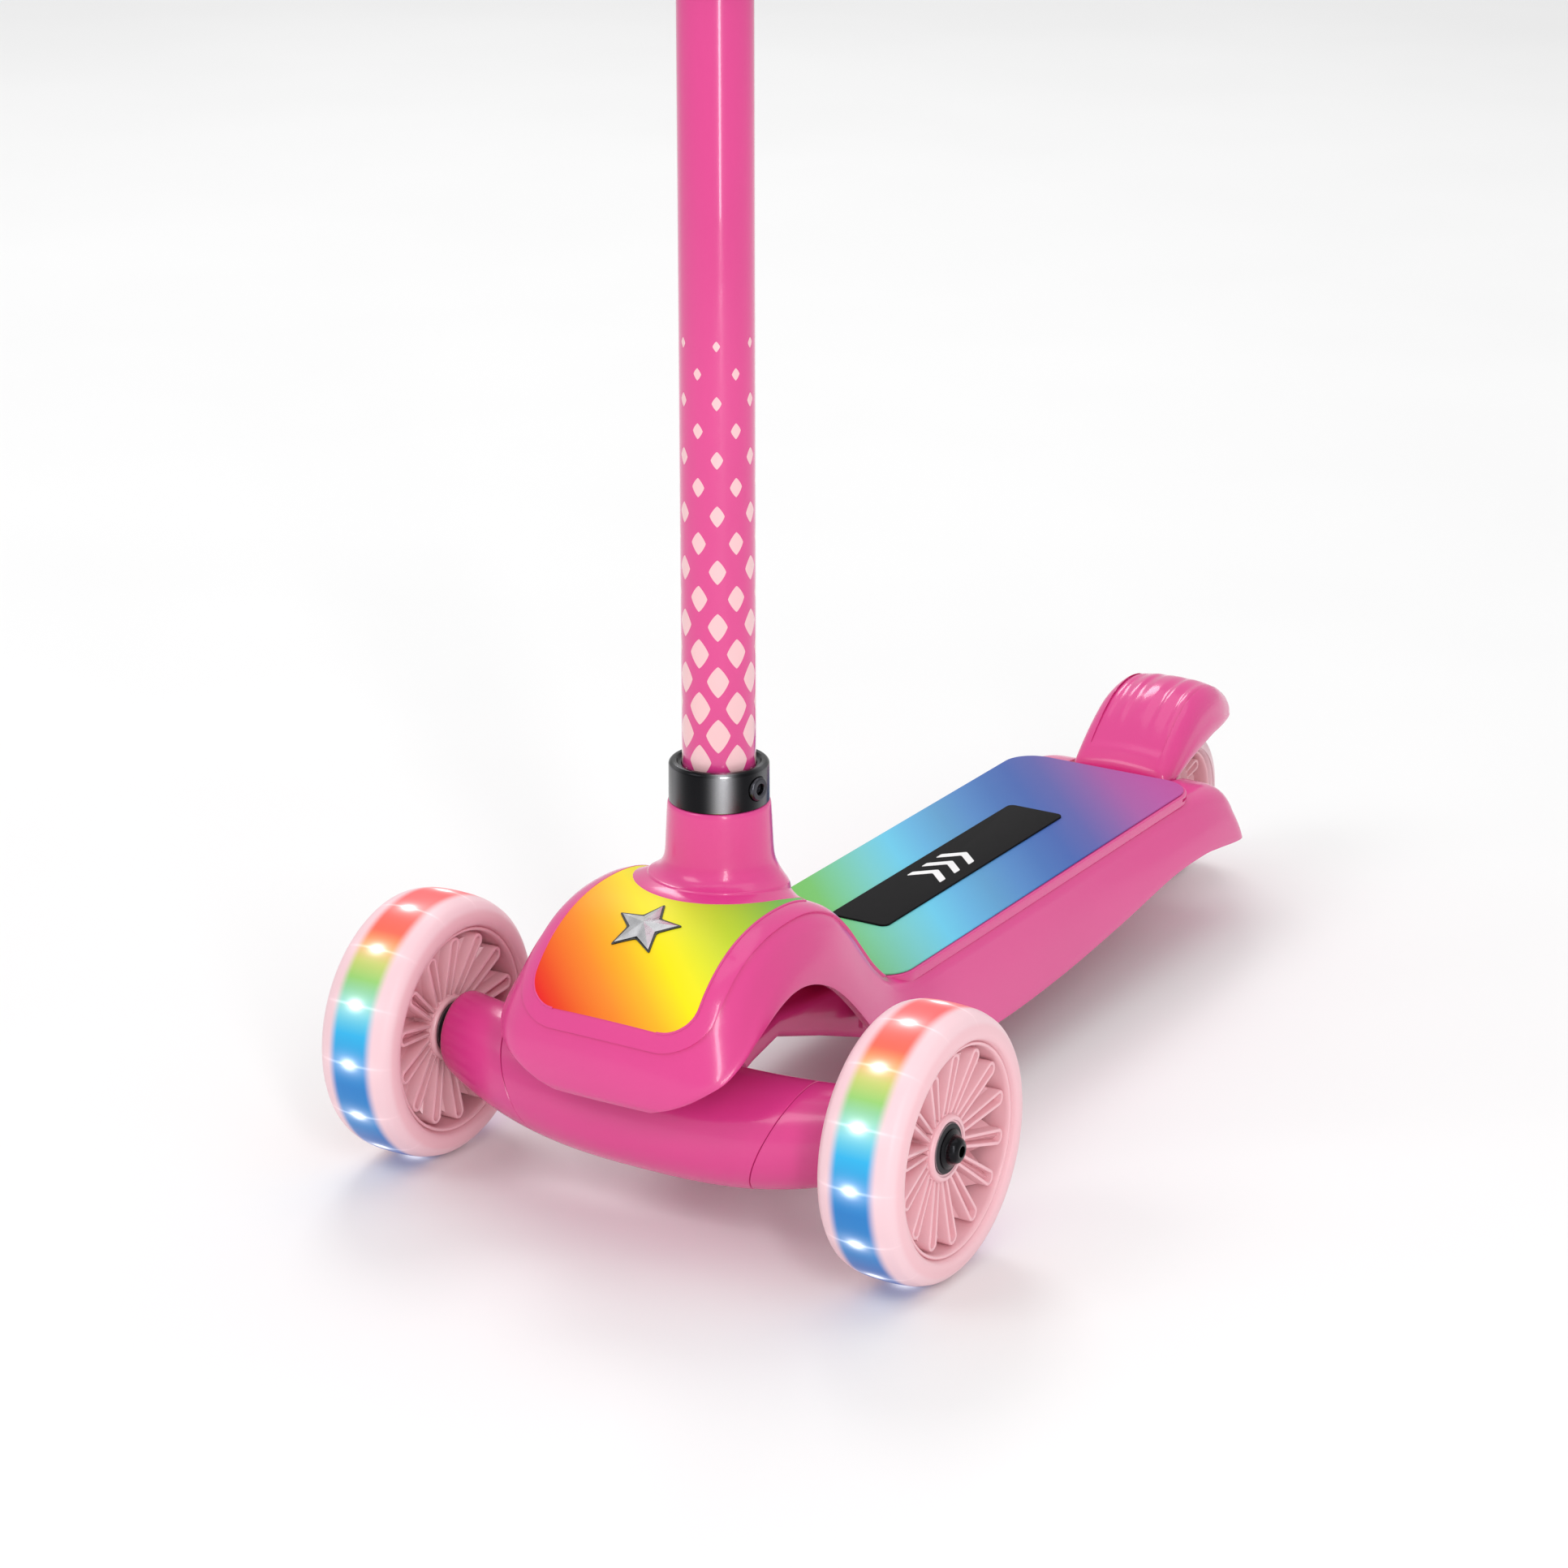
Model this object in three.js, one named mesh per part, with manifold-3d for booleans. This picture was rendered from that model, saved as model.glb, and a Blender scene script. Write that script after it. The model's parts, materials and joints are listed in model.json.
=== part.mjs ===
// Three-wheeled lean-to-steer kick scooter for a small child.
// Millimetres, +Z up, the front of the scooter towards -Y, X = 0 is the plane of symmetry.
// The design is drawn round the front axle line (Y = 0) and the floor (Z = 0), and the whole
// group is then moved along Y so that its box is centred on the origin.
import * as THREE from 'three';
import { mergeVertices } from 'three/addons/utils/BufferGeometryUtils.js';
import Module from 'manifold-3d';

const wasm = await Module();
wasm.setup();

// ---------------------------------------------------------------- driving dimensions

const GAP = 0.3; // left between pieces that touch on the real scooter
const RUNNING = 0.1; // radial clearance of a shaft that turns or slides in a bore
const PLASTIC_WALL = 4;

const TRACK = 253; // front wheel centre to front wheel centre
const WHEELBASE = 484; // front axle to rear axle
const FRONT_WHEEL = { radius: 60, width: 39.5, rim: 46, hub: 14.7, hubWidth: 26, sides: 28 };
const REAR_WHEEL = { radius: 39.5, width: 24, rim: 29, hub: 13.5, hubWidth: 24, sides: 24 };
const SPOKE = { count: 14, thickness: 2.2, width: 20, lean: 0.5 };
const BEARING = { outer: 11, width: 7 };
const AXLE_RADIUS = 4;
const LIGHT_RING = { thickness: 3.4, width: 22 };

// The front axle beam is a swept round bar that bulges down and forward in the middle.
const BEAM = { end: 108, endRadius: 18.7, bulge: 7.6, drop: 11.4, advance: 7.3, power: 2.64 };
const BEAM_SPLIT = 66; // where the centre piece meets the two arms
const MAGNET_SPACER_RADIUS = 9;

// Steering pivot: the axle beam turns about this line, which leans forward at the top.
const PIVOT = { y: 22, z: 70, lean: 50, boss: 13, bossHalf: 14, bushing: 6 };
const KINGPIN_RADIUS = 5;
const KINGPIN_HEAD = { radius: 8, height: 6 };
const LEAN_EAR = 12; // thickness of the lower ear along the pivot line

// Deck
const DECK = { top: 78, topHalf: 52, bottomHalf: 61, bottom: 33, front: 112, rear: 446 };
const GRIP_SHEET = { half: 49.5, front: 124, rear: 413, thickness: 0.9, corner: 16 };
const PANEL = { half: 15, front: 163, rear: 338, thickness: 0.8, corner: 4 };
const RIB_CELLS = { rows: 5, columns: 2, roof: 6, rib: 4, front: 128, rear: 418 };

// Gooseneck and nose
const NOSE = { half: 52, corner: 24, coverDepth: 6, innerHalf: 45 };
const NOSE_SHEET = { half: 42, thickness: 0.8, corner: 14 };
const BADGE = { radius: 13, inner: 0.46, thickness: 1.6, along: 0.6, lift: 3.4 };
const ARCH_CELL = { inner: 24, front: 26, rear: 60, roof: 116 };
const COVER_SCREW = { x: 34, y: 44, radius: 2, head: 4, headHeight: 3, depth: 4 };

// Stem
const STEM = { y: 43.5, radius: 16, wall: 1.6, bottom: 108, top: 560 };
const NECK = { top: 176, topRadius: 22.4, waist: 24, flange: 36, flangeTop: 142, skirt: 104 };
const CLAMP = { radius: 21.8, height: 18, bolt: 2.5 };
const UPPER = { radius: 12.7, wall: 1.5, bottom: 430 };
const BUSH = { length: 40, lip: 3 };
const COLLAR = { radius: 21.5, height: 27, below: 3, earLength: 13, earThickness: 7, slit: 3 };
const SKEWER = { radius: 2.5, barrel: 3.5 };
const LEVER = { eye: 7, height: 14, thickness: 4, reach: 26, fork: 3.2 };

// Handlebar
const BAR = { z: 660, radius: 11, wall: 1.5, half: 155 };
const TEE = { radius: 17, half: 30, drop: 42 };
const GRIP = { radius: 15.5, length: 104, flange: 21, flangeWidth: 5 };
const CAP = { radius: 18, thickness: 5, plug: 12 };

// Rear fork, brake
const FORK = { inner: 16.5, outer: 24, tip: 12, top: 50, bottom: 29 };
const SLOT_FRONT = 438;
const PEDAL = { half: 28, wall: 3, front: 426, pinY: 436, pinZ: 67, pinRadius: 3 };
const PEDAL_WEB = { inner: 17, outer: 21 };
const LUG = { inner: 8, outer: 15.5 };
const PAD = { half: 11, gap: 5, thickness: 4, from: 66, to: 112 };
const TAIL_FLOOR = 58; // the tail is cut down to here under the pedal

// ---------------------------------------------------------------- solids

const SIDES = [[-1, 'left'], [1, 'right']];

// The two ends, in rising order, of a stretch between two distances on one side.
const span = (side, from, to) => [side * from, side * to].sort((a, b) => a - b);

function toSolid(geometry) {
  const bare = geometry.index ? geometry.toNonIndexed() : geometry.clone();
  bare.deleteAttribute('normal');
  bare.deleteAttribute('uv');
  const merged = mergeVertices(bare, 1e-4);
  return new wasm.Manifold(new wasm.Mesh({
    numProp: 3,
    vertProperties: new Float32Array(merged.attributes.position.array),
    triVerts: new Uint32Array(merged.index.array),
  }));
}

function toGeometry(body) {
  const { vertProperties, triVerts } = body.getMesh();
  const geometry = new THREE.BufferGeometry();
  geometry.setAttribute('position', new THREE.BufferAttribute(vertProperties, 3));
  geometry.setIndex(new THREE.BufferAttribute(triVerts, 1));
  geometry.computeVertexNormals();
  return geometry;
}

const join = (...bodies) => bodies.reduce((whole, body) => whole.add(body));
const cut = (body, ...tools) => tools.reduce((rest, tool) => rest.subtract(tool), body);

function outline(points) {
  return new THREE.Shape(points.map(([u, v]) => new THREE.Vector2(u, v)));
}

function slab(shape, depth) {
  return new THREE.ExtrudeGeometry(shape, { depth, bevelEnabled: false, curveSegments: 4 });
}

// A side view (y, z) made into a slab from x0 to x1.
function sideSlab(points, x0, x1) {
  const geometry = slab(outline(points), x1 - x0);
  const turn = new THREE.Matrix4().makeBasis(
    new THREE.Vector3(0, 1, 0), new THREE.Vector3(0, 0, 1), new THREE.Vector3(1, 0, 0));
  return toSolid(geometry.applyMatrix4(turn).translate(x0, 0, 0));
}

// A plan (x, y) made into a slab from z0 to z1.
function planSlab(shape, z0, z1) {
  return toSolid(slab(shape, z1 - z0).translate(0, 0, z0));
}

// A front view (x, z) made into a slab from y0 to y1.
function frontSlab(points, y0, y1) {
  const geometry = slab(outline(points), y1 - y0).rotateX(Math.PI / 2);
  return toSolid(geometry.translate(0, y1, 0));
}

function block(x0, x1, y0, y1, z0, z1) {
  const geometry = new THREE.BoxGeometry(x1 - x0, y1 - y0, z1 - z0);
  return toSolid(geometry.translate((x0 + x1) / 2, (y0 + y1) / 2, (z0 + z1) / 2));
}

function roundedPlan(half, front, rear, corner) {
  const shape = new THREE.Shape();
  shape.moveTo(-half + corner, front);
  shape.lineTo(half - corner, front);
  shape.absarc(half - corner, front + corner, corner, -Math.PI / 2, 0);
  shape.lineTo(half, rear - corner);
  shape.absarc(half - corner, rear - corner, corner, 0, Math.PI / 2);
  shape.lineTo(-half + corner, rear);
  shape.absarc(-half + corner, rear - corner, corner, Math.PI / 2, Math.PI);
  shape.lineTo(-half, front + corner);
  shape.absarc(-half + corner, front + corner, corner, Math.PI, 1.5 * Math.PI);
  return shape;
}

// The radius of a polygon with this many sides that clears a round shaft by the gap.
const boreRadius = (radius, gap, sides) => (radius + gap) / Math.cos(Math.PI / sides);

function alongX(geometry, x0, x1) {
  return geometry.rotateZ(-Math.PI / 2).translate((x0 + x1) / 2, 0, 0);
}

function rodX(radius, x0, x1, y, z, sides = 16) {
  const geometry = new THREE.CylinderGeometry(radius, radius, x1 - x0, sides);
  return toSolid(alongX(geometry, x0, x1).translate(0, y, z));
}

function rodZ(radius, z0, z1, x, y, sides = 16) {
  const geometry = new THREE.CylinderGeometry(radius, radius, z1 - z0, sides);
  return toSolid(geometry.rotateX(Math.PI / 2).translate(x, y, (z0 + z1) / 2));
}

function tubeX(outer, inner, x0, x1, y, z, sides = 16) {
  return cut(rodX(outer, x0, x1, y, z, sides), rodX(inner, x0 - 1, x1 + 1, y, z, sides));
}

function tubeZ(outer, inner, z0, z1, y, sides = 24) {
  return cut(rodZ(outer, z0, z1, 0, y, sides), rodZ(inner, z0 - 1, z1 + 1, 0, y, sides));
}

// A ring turned about the X axis from a closed profile of (radius, x) points. Its outer
// flats, not its corners, touch the stated radius, and one flat faces straight down.
function turnedX(profile, sides) {
  const grow = 1 / Math.cos(Math.PI / sides);
  const closed = [...profile, profile[0]];
  const points = closed.map(([radius, along]) => new THREE.Vector2(radius * grow, along));
  const geometry = new THREE.LatheGeometry(points, sides);
  const body = toSolid(geometry.rotateY(Math.PI / sides).rotateZ(-Math.PI / 2));
  return body.volume() < 0 ? toSolid(flipped(geometry)) : body;
}

function flipped(geometry) {
  const index = geometry.index.array;
  for (let i = 0; i < index.length; i += 3) [index[i], index[i + 1]] = [index[i + 1], index[i]];
  return geometry;
}

// A solid turned about the vertical line x = 0, y, from (radius, z) points.
function turnedZ(profile, y, sides) {
  const points = profile.map(([radius, z]) => new THREE.Vector2(radius, z));
  const geometry = new THREE.LatheGeometry(points, sides).rotateX(Math.PI / 2);
  return toSolid(geometry.translate(0, y, 0));
}

// ---------------------------------------------------------------- the scene graph

const COLOURS = {
  pink: [0xec5aa0, 0.28, 0],
  nosePaint: [0xf2b52c, 0.35, 0],
  deckPaint: [0x3aa3d6, 0.6, 0],
  black: [0x17171a, 0.5, 0],
  graphite: [0x2b2b2e, 0.2, 0.9],
  steel: [0xb9bbc0, 0.3, 1],
  palePink: [0xf3c9cd, 0.35, 0],
  light: [0xdff2ff, 0.3, 0],
  rubber: [0x3a3a3e, 0.8, 0],
  urethane: [0xe9e3d6, 0.5, 0],
};

const scooter = new THREE.Group();

function add(name, body, colour, parent = scooter) {
  const [hex, roughness, metalness] = COLOURS[colour];
  const material = new THREE.MeshStandardMaterial({ color: hex, roughness, metalness });
  const mesh = new THREE.Mesh(toGeometry(body), material);
  mesh.name = name;
  parent.add(mesh);
  return mesh;
}

// ---------------------------------------------------------------- outlines of the body

const STEM_SEAT = 138.5; // height of the outline where the stem comes through it
// Top of the nose and gooseneck in side view, from the front lip back to the deck.
const NOSE_TOP = [
  [-53, 84], [-51, 99], [-45, 112], [-34, 124], [-20, 133], [-2, 139], [20, 141],
  [44, STEM_SEAT], [60, 130], [76, 116], [92, 98], [106, 84], [122, DECK.top],
];
// Underside of the arch over the axle beam, from the deck forward to the front lip.
const ARCH = [
  [122, 40], [104, 48], [92, 58], [82, 67], [73, 78], [64, 88], [54, 95], [44, 99], [32, 100],
  [20, 98.5], [8, 94.5], [-8, 88.5], [-20, 84], [-34, 78], [-51, 70],
];
// Underside of the deck, from the front back to the tail.
const DECK_BELOW = [[112, 44], [130, 36], [188, DECK.bottom], [300, 40], [365, 47], [444, 40]];

// A line moved sideways by a distance, to the left of its direction.
function moved(line, distance) {
  return line.map((point, i) => {
    const before = line[Math.max(i - 1, 0)];
    const after = line[Math.min(i + 1, line.length - 1)];
    const [u, v] = [after[0] - before[0], after[1] - before[1]];
    const length = Math.hypot(u, v);
    return [point[0] - (distance * v) / length, point[1] + (distance * u) / length];
  });
}

// The same line with its two ends drawn in by a distance.
function shortened(line, distance) {
  const drawIn = ([u0, v0], [u1, v1]) => {
    const length = Math.hypot(u1 - u0, v1 - v0);
    return [u0 + (distance * (u1 - u0)) / length, v0 + (distance * (v1 - v0)) / length];
  };
  const last = line.length - 1;
  return [drawIn(line[0], line[1]), ...line.slice(1, last), drawIn(line[last], line[last - 1])];
}

// The strip between two copies of a line, one moved by each distance.
const strip = (line, low, high) => [...moved(line, low), ...moved(line, high).reverse()];

// ---------------------------------------------------------------- deck, gooseneck and nose

const pivotAngle = THREE.MathUtils.degToRad(PIVOT.lean);
const pivotLine = new THREE.Vector3(0, -Math.cos(pivotAngle), Math.sin(pivotAngle));

// A rod along the pivot line, between two distances from the pivot point.
function pivotRod(radius, from, to, sides = 16) {
  const geometry = new THREE.CylinderGeometry(radius, radius, to - from, sides);
  geometry.translate(0, (from + to) / 2, 0);
  const turn = new THREE.Quaternion().setFromUnitVectors(new THREE.Vector3(0, 1, 0), pivotLine);
  return toSolid(geometry.applyQuaternion(turn).translate(0, PIVOT.y, PIVOT.z));
}

const nosePlan = roundedPlan(NOSE.half, NOSE_TOP[0][0], 160, NOSE.corner);
const noseTrim = planSlab(nosePlan, 0, 200);
const noseBlock = sideSlab([...NOSE_TOP, ...ARCH], -NOSE.half, NOSE.half).intersect(noseTrim);

const deckSide = [[DECK.front, 60], ...DECK_BELOW, [DECK.rear, 56], [430, 69],
  [420, DECK.top], [DECK.front, DECK.top]];
const deckSection = [
  [-DECK.bottomHalf, DECK.bottom], [DECK.bottomHalf, DECK.bottom], [DECK.bottomHalf, 42],
  [DECK.topHalf, DECK.top], [-DECK.topHalf, DECK.top], [-DECK.bottomHalf, 42],
];
const deckPlan = roundedPlan(DECK.bottomHalf, 60, DECK.rear, 16);
const deckBlock = sideSlab(deckSide, -DECK.bottomHalf, DECK.bottomHalf)
  .intersect(frontSlab(deckSection, 60, DECK.rear))
  .intersect(planSlab(deckPlan, 0, 200));

const coverLine = NOSE_TOP.slice(1, -1); // the part of the outline that the nose cover forms
const stemBottom = STEM.bottom - GAP;
const stemSocket = boreRadius(STEM.radius, GAP, 24);
const coverScrewTop = STEM_SEAT - NOSE.coverDepth + COVER_SCREW.depth;
const bossLength = PIVOT.bossHalf + GAP;
const earStart = bossLength + PIVOT.bushing + GAP;

function deckShell() {
  const coverSpace = sideSlab(strip(coverLine, -NOSE.coverDepth, 20), -80, 80);
  const noseHollow = sideSlab([
    ...moved(NOSE_TOP.slice(1, 7), -NOSE.coverDepth - PLASTIC_WALL), [20, 60], [NOSE_TOP[0][0] + PLASTIC_WALL + 2, 60],
  ], -NOSE.innerHalf, NOSE.innerHalf);
  const hollow = noseHollow.intersect(planSlab(
    roundedPlan(NOSE.innerHalf, NOSE_TOP[0][0] + PLASTIC_WALL, 160, NOSE.corner - 6), 0, 200));
  const upperEar = pivotRod(PIVOT.boss, earStart, 80).intersect(noseBlock);
  const lowerEar = join(
    pivotRod(PIVOT.boss, -earStart - LEAN_EAR, -earStart),
    block(-PIVOT.boss, PIVOT.boss, 42, DECK.front + 8, 40, 53));
  const archCells = SIDES.map(([side]) => block(...span(side, ARCH_CELL.inner, NOSE.innerHalf),
    ARCH_CELL.front, ARCH_CELL.rear, 60, ARCH_CELL.roof));
  let body = cut(noseBlock, hollow, ...archCells);
  body = join(body, deckBlock, upperEar);
  body = cut(body, ...ribCells());
  body = join(body, lowerEar, ...forkArms());
  body = cut(body, coverSpace.subtract(deckBlock), pivotRod(KINGPIN_RADIUS + GAP, -60, 62),
    pivotRod(KINGPIN_HEAD.radius + 1, -80, -earStart - LEAN_EAR));
  body = cut(body, rodZ(stemSocket, stemBottom, 200, 0, STEM.y, 24), ...coverScrewBores());
  return cut(join(cut(body, ...tailCuts()), ...lugs()), pedalPinBore());
}

// Open cells under the deck, which leave a grid of ribs.
function ribCells() {
  const inner = DECK.topHalf - PLASTIC_WALL;
  const pitchX = (2 * inner + RIB_CELLS.rib) / RIB_CELLS.columns;
  const pitchY = (RIB_CELLS.rear - RIB_CELLS.front + RIB_CELLS.rib) / RIB_CELLS.rows;
  const cells = [];
  for (let row = 0; row < RIB_CELLS.rows; row += 1) {
    for (let column = 0; column < RIB_CELLS.columns; column += 1) {
      const x = -inner + column * pitchX;
      const y = RIB_CELLS.front + row * pitchY;
      cells.push(block(x, x + pitchX - RIB_CELLS.rib, y, y + pitchY - RIB_CELLS.rib,
        0, DECK.top - RIB_CELLS.roof));
    }
  }
  return cells;
}

function forkArms() {
  const tip = WHEELBASE + FORK.tip;
  return SIDES.map(([side]) => {
    const [x0, x1] = span(side, FORK.inner, FORK.outer);
    return block(x0, x1, SLOT_FRONT - 12, tip, FORK.bottom, FORK.top);
  });
}

function tailCuts() {
  const axleBore = boreRadius(AXLE_RADIUS, GAP, 16);
  return [
    block(-FORK.inner, FORK.inner, SLOT_FRONT, WHEELBASE + 60, 0, 200),
    block(-PEDAL.half - 1.5, PEDAL.half + 1.5, PEDAL.front, WHEELBASE + 60, TAIL_FLOOR, 200),
    rodX(axleBore, -40, 40, WHEELBASE, REAR_WHEEL.radius),
  ];
}

function lugs() {
  return SIDES.map(([side]) => {
    const [x0, x1] = span(side, LUG.inner, LUG.outer);
    return join(
      block(x0, x1, PEDAL.pinY - 7, PEDAL.pinY + 7, TAIL_FLOOR - 12, PEDAL.pinZ),
      rodX(7, x0, x1, PEDAL.pinY, PEDAL.pinZ));
  });
}

const pedalPinBore = () => rodX(
  boreRadius(PEDAL.pinRadius, GAP, 16), -LUG.outer - 1, LUG.outer + 1, PEDAL.pinY, PEDAL.pinZ);

const coverScrewBores = () => SIDES.map(([side]) => rodZ(
  boreRadius(COVER_SCREW.radius, GAP, 12), ARCH_CELL.roof - 10, coverScrewTop + GAP,
  side * COVER_SCREW.x, COVER_SCREW.y, 12));

function noseCover() {
  const line = shortened(coverLine, GAP);
  const skin = sideSlab(strip(line, GAP - NOSE.coverDepth, 0), -80, 80);
  return cut(skin.intersect(noseTrim), rodZ(stemSocket, 60, 200, 0, STEM.y, 24),
    ...coverScrewBores());
}

function noseSheet() {
  const skin = sideSlab(strip(NOSE_TOP.slice(1, 8), GAP, GAP + NOSE_SHEET.thickness), -80, 80);
  const plan = roundedPlan(NOSE_SHEET.half, NOSE_TOP[0][0] - 4, STEM.y, NOSE_SHEET.corner);
  const neckSpace = rodZ(NECK.flange + 1, 60, 200, 0, STEM.y, 24);
  return cut(skin.intersect(planSlab(plan, 60, 200)), neckSpace);
}

// The place on the nose at a share of the slope between two points of its outline.
function onNose(share, lift) {
  const [low, high] = [NOSE_TOP[1], NOSE_TOP[3]];
  const slope = Math.atan2(high[1] - low[1], high[0] - low[0]);
  const y = low[0] + share * (high[0] - low[0]);
  const z = low[1] + share * (high[1] - low[1]);
  return { y: y - lift * Math.sin(slope), z: z + lift * Math.cos(slope), slope };
}

function star() {
  const points = [];
  for (let corner = 0; corner < 10; corner += 1) {
    const radius = corner % 2 ? BADGE.radius * BADGE.inner : BADGE.radius;
    const angle = Math.PI / 2 + (corner * Math.PI) / 5;
    points.push([radius * Math.cos(angle), radius * Math.sin(angle)]);
  }
  return toSolid(slab(outline(points), BADGE.thickness));
}

// The moulding is parted behind the gooseneck, so that each half has a simple shape.
const shell = deckShell();
const parting = RIB_CELLS.front - PLASTIC_WALL;
const behindParting = block(-100, 100, parting, WHEELBASE + 100, -10, 300);
const aheadOfParting = block(-100, 100, -100, parting + GAP, -10, 300);
add('nose_shell', cut(shell, behindParting), 'pink');
add('deck_shell', cut(shell, aheadOfParting), 'pink');
add('nose_cover', noseCover(), 'pink');
add('nose_sheet', noseSheet(), 'nosePaint');

for (const [side, word] of SIDES) {
  const headTop = ARCH_CELL.roof - GAP;
  const screw = join(
    rodZ(COVER_SCREW.head, headTop - COVER_SCREW.headHeight, headTop,
      side * COVER_SCREW.x, COVER_SCREW.y, 12),
    rodZ(COVER_SCREW.radius, headTop - 1, coverScrewTop, side * COVER_SCREW.x, COVER_SCREW.y, 12));
  add(`cover_screw_${word}`, screw, 'steel');
}

const badgePlace = onNose(BADGE.along, GAP * 2 + NOSE_SHEET.thickness + BADGE.lift);
const badge = add('nose_badge', star(), 'steel');
badge.position.set(0, badgePlace.y, badgePlace.z);
badge.rotation.x = badgePlace.slope;

// The sheet's front edge is straight, so its rounded front corners are cut away.
const sheetPlan = roundedPlan(
  GRIP_SHEET.half, GRIP_SHEET.front - GRIP_SHEET.corner, GRIP_SHEET.rear, GRIP_SHEET.corner);
const sheetTop = DECK.top + GAP + GRIP_SHEET.thickness;
const sheetFront = block(-60, 60, 0, GRIP_SHEET.front, 0, 200);
add('deck_sheet', cut(planSlab(sheetPlan, DECK.top + GAP, sheetTop), sheetFront), 'deckPaint');
const panelPlan = roundedPlan(PANEL.half, PANEL.front, PANEL.rear, PANEL.corner);
const panelBase = sheetTop + GAP;
add('deck_panel', planSlab(panelPlan, panelBase, panelBase + PANEL.thickness), 'black');

// ---------------------------------------------------------------- neck, clamp and stem

const neck = turnedZ([
  [0, NECK.skirt], [NECK.flange, NECK.skirt], [NECK.flange, NECK.flangeTop - 2],
  [NECK.flange - 4, NECK.flangeTop], [NECK.waist + 4, NECK.flangeTop + 5],
  [NECK.waist, NECK.flangeTop + 13], [NECK.topRadius, NECK.top], [0, NECK.top],
], STEM.y, 24);
const noseAbove = join(noseBlock.translate(0, 0, GAP), block(-80, 80, -80, 200, 60, 112));
const neckBore = rodZ(stemSocket, 60, 200, 0, STEM.y, 24);
add('neck_sleeve', cut(neck, noseAbove, neckBore), 'pink');

const clampBase = NECK.top + GAP;
const clampMiddle = clampBase + CLAMP.height / 2;
const clampHead = { radius: 4.6, depth: 2.6, bed: CLAMP.radius - 2.4 };
add('clamp_ring', cut(
  rodZ(CLAMP.radius, clampBase, clampBase + CLAMP.height, 0, STEM.y, 24),
  rodZ(stemSocket, 60, 300, 0, STEM.y, 24),
  rodX(boreRadius(CLAMP.bolt, GAP, 16), 0, 60, STEM.y, clampMiddle),
  rodX(boreRadius(clampHead.radius, GAP, 16), clampHead.bed, 60, STEM.y, clampMiddle)),
'graphite');

// A bolt along X: a shank with a socket head at its start.
function boltX(radius, head, headLength, x0, x1, y, z) {
  const socket = rodX(radius * 0.6, Math.min(x0 - 1, x0 + headLength * 0.6),
    Math.max(x0 - 1, x0 + headLength * 0.6), y, z, 6);
  const inward = Math.sign(x1 - x0);
  const under = x0 + inward * headLength;
  const [h0, h1] = [x0, under].sort((a, b) => a - b);
  const [s0, s1] = [x0 + inward, x1].sort((a, b) => a - b);
  return cut(join(rodX(head, h0, h1, y, z), rodX(radius, s0, s1, y, z)),
    inward < 0 ? rodX(radius * 0.6, x0 - headLength * 0.6, x0 + 1, y, z, 6) : socket);
}

add('clamp_bolt', boltX(CLAMP.bolt, clampHead.radius, clampHead.depth,
  clampHead.bed + GAP + clampHead.depth, STEM.radius + GAP, STEM.y, clampMiddle), 'steel');

add('lower_stem', tubeZ(STEM.radius, STEM.radius - STEM.wall, STEM.bottom, STEM.top, STEM.y),
  'pink');

const bushOuter = (STEM.radius - STEM.wall) * Math.cos(Math.PI / 24) - GAP;
const bushTop = STEM.top + GAP + BUSH.lip;
const bush = join(
  rodZ(bushOuter, STEM.top - BUSH.length, STEM.top + 1, 0, STEM.y, 24),
  rodZ(STEM.radius, STEM.top + GAP, bushTop, 0, STEM.y, 24));
add('stem_bush', cut(bush, rodZ(boreRadius(UPPER.radius, RUNNING, 24), 0, 900, 0, STEM.y, 24)),
  'black');

const collarTop = STEM.top - COLLAR.below;
const collarMiddle = collarTop - COLLAR.height / 2;
const earY = STEM.y + COLLAR.radius - 3;
const skewerY = earY + COLLAR.earLength - 4;
const earHalf = COLLAR.slit / 2 + COLLAR.earThickness;
const collar = cut(
  join(rodZ(COLLAR.radius, collarTop - COLLAR.height, collarTop, 0, STEM.y, 24),
    block(-earHalf, earHalf, earY - 2, earY + COLLAR.earLength,
      collarTop - COLLAR.height + 4, collarTop - 4)),
  rodZ(stemSocket, 0, 900, 0, STEM.y, 24),
  block(-COLLAR.slit / 2, COLLAR.slit / 2, STEM.y, STEM.y + 60, 0, 900),
  rodX(boreRadius(SKEWER.radius, GAP, 16), -40, 40, skewerY, collarMiddle));
add('height_collar', collar, 'black');

const leverX = earHalf + GAP + LEVER.eye;
const skewer = join(
  rodX(SKEWER.radius, -earHalf - 6, leverX, skewerY, collarMiddle),
  rodZ(SKEWER.barrel, collarMiddle - LEVER.height / 2, collarMiddle + LEVER.height / 2,
    leverX, skewerY));
add('collar_skewer', skewer, 'steel');
add('collar_nut', tubeX(5.5, boreRadius(SKEWER.radius, GAP, 6), -earHalf - GAP - 4.5,
  -earHalf - GAP, skewerY, collarMiddle, 6), 'steel');

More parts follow.
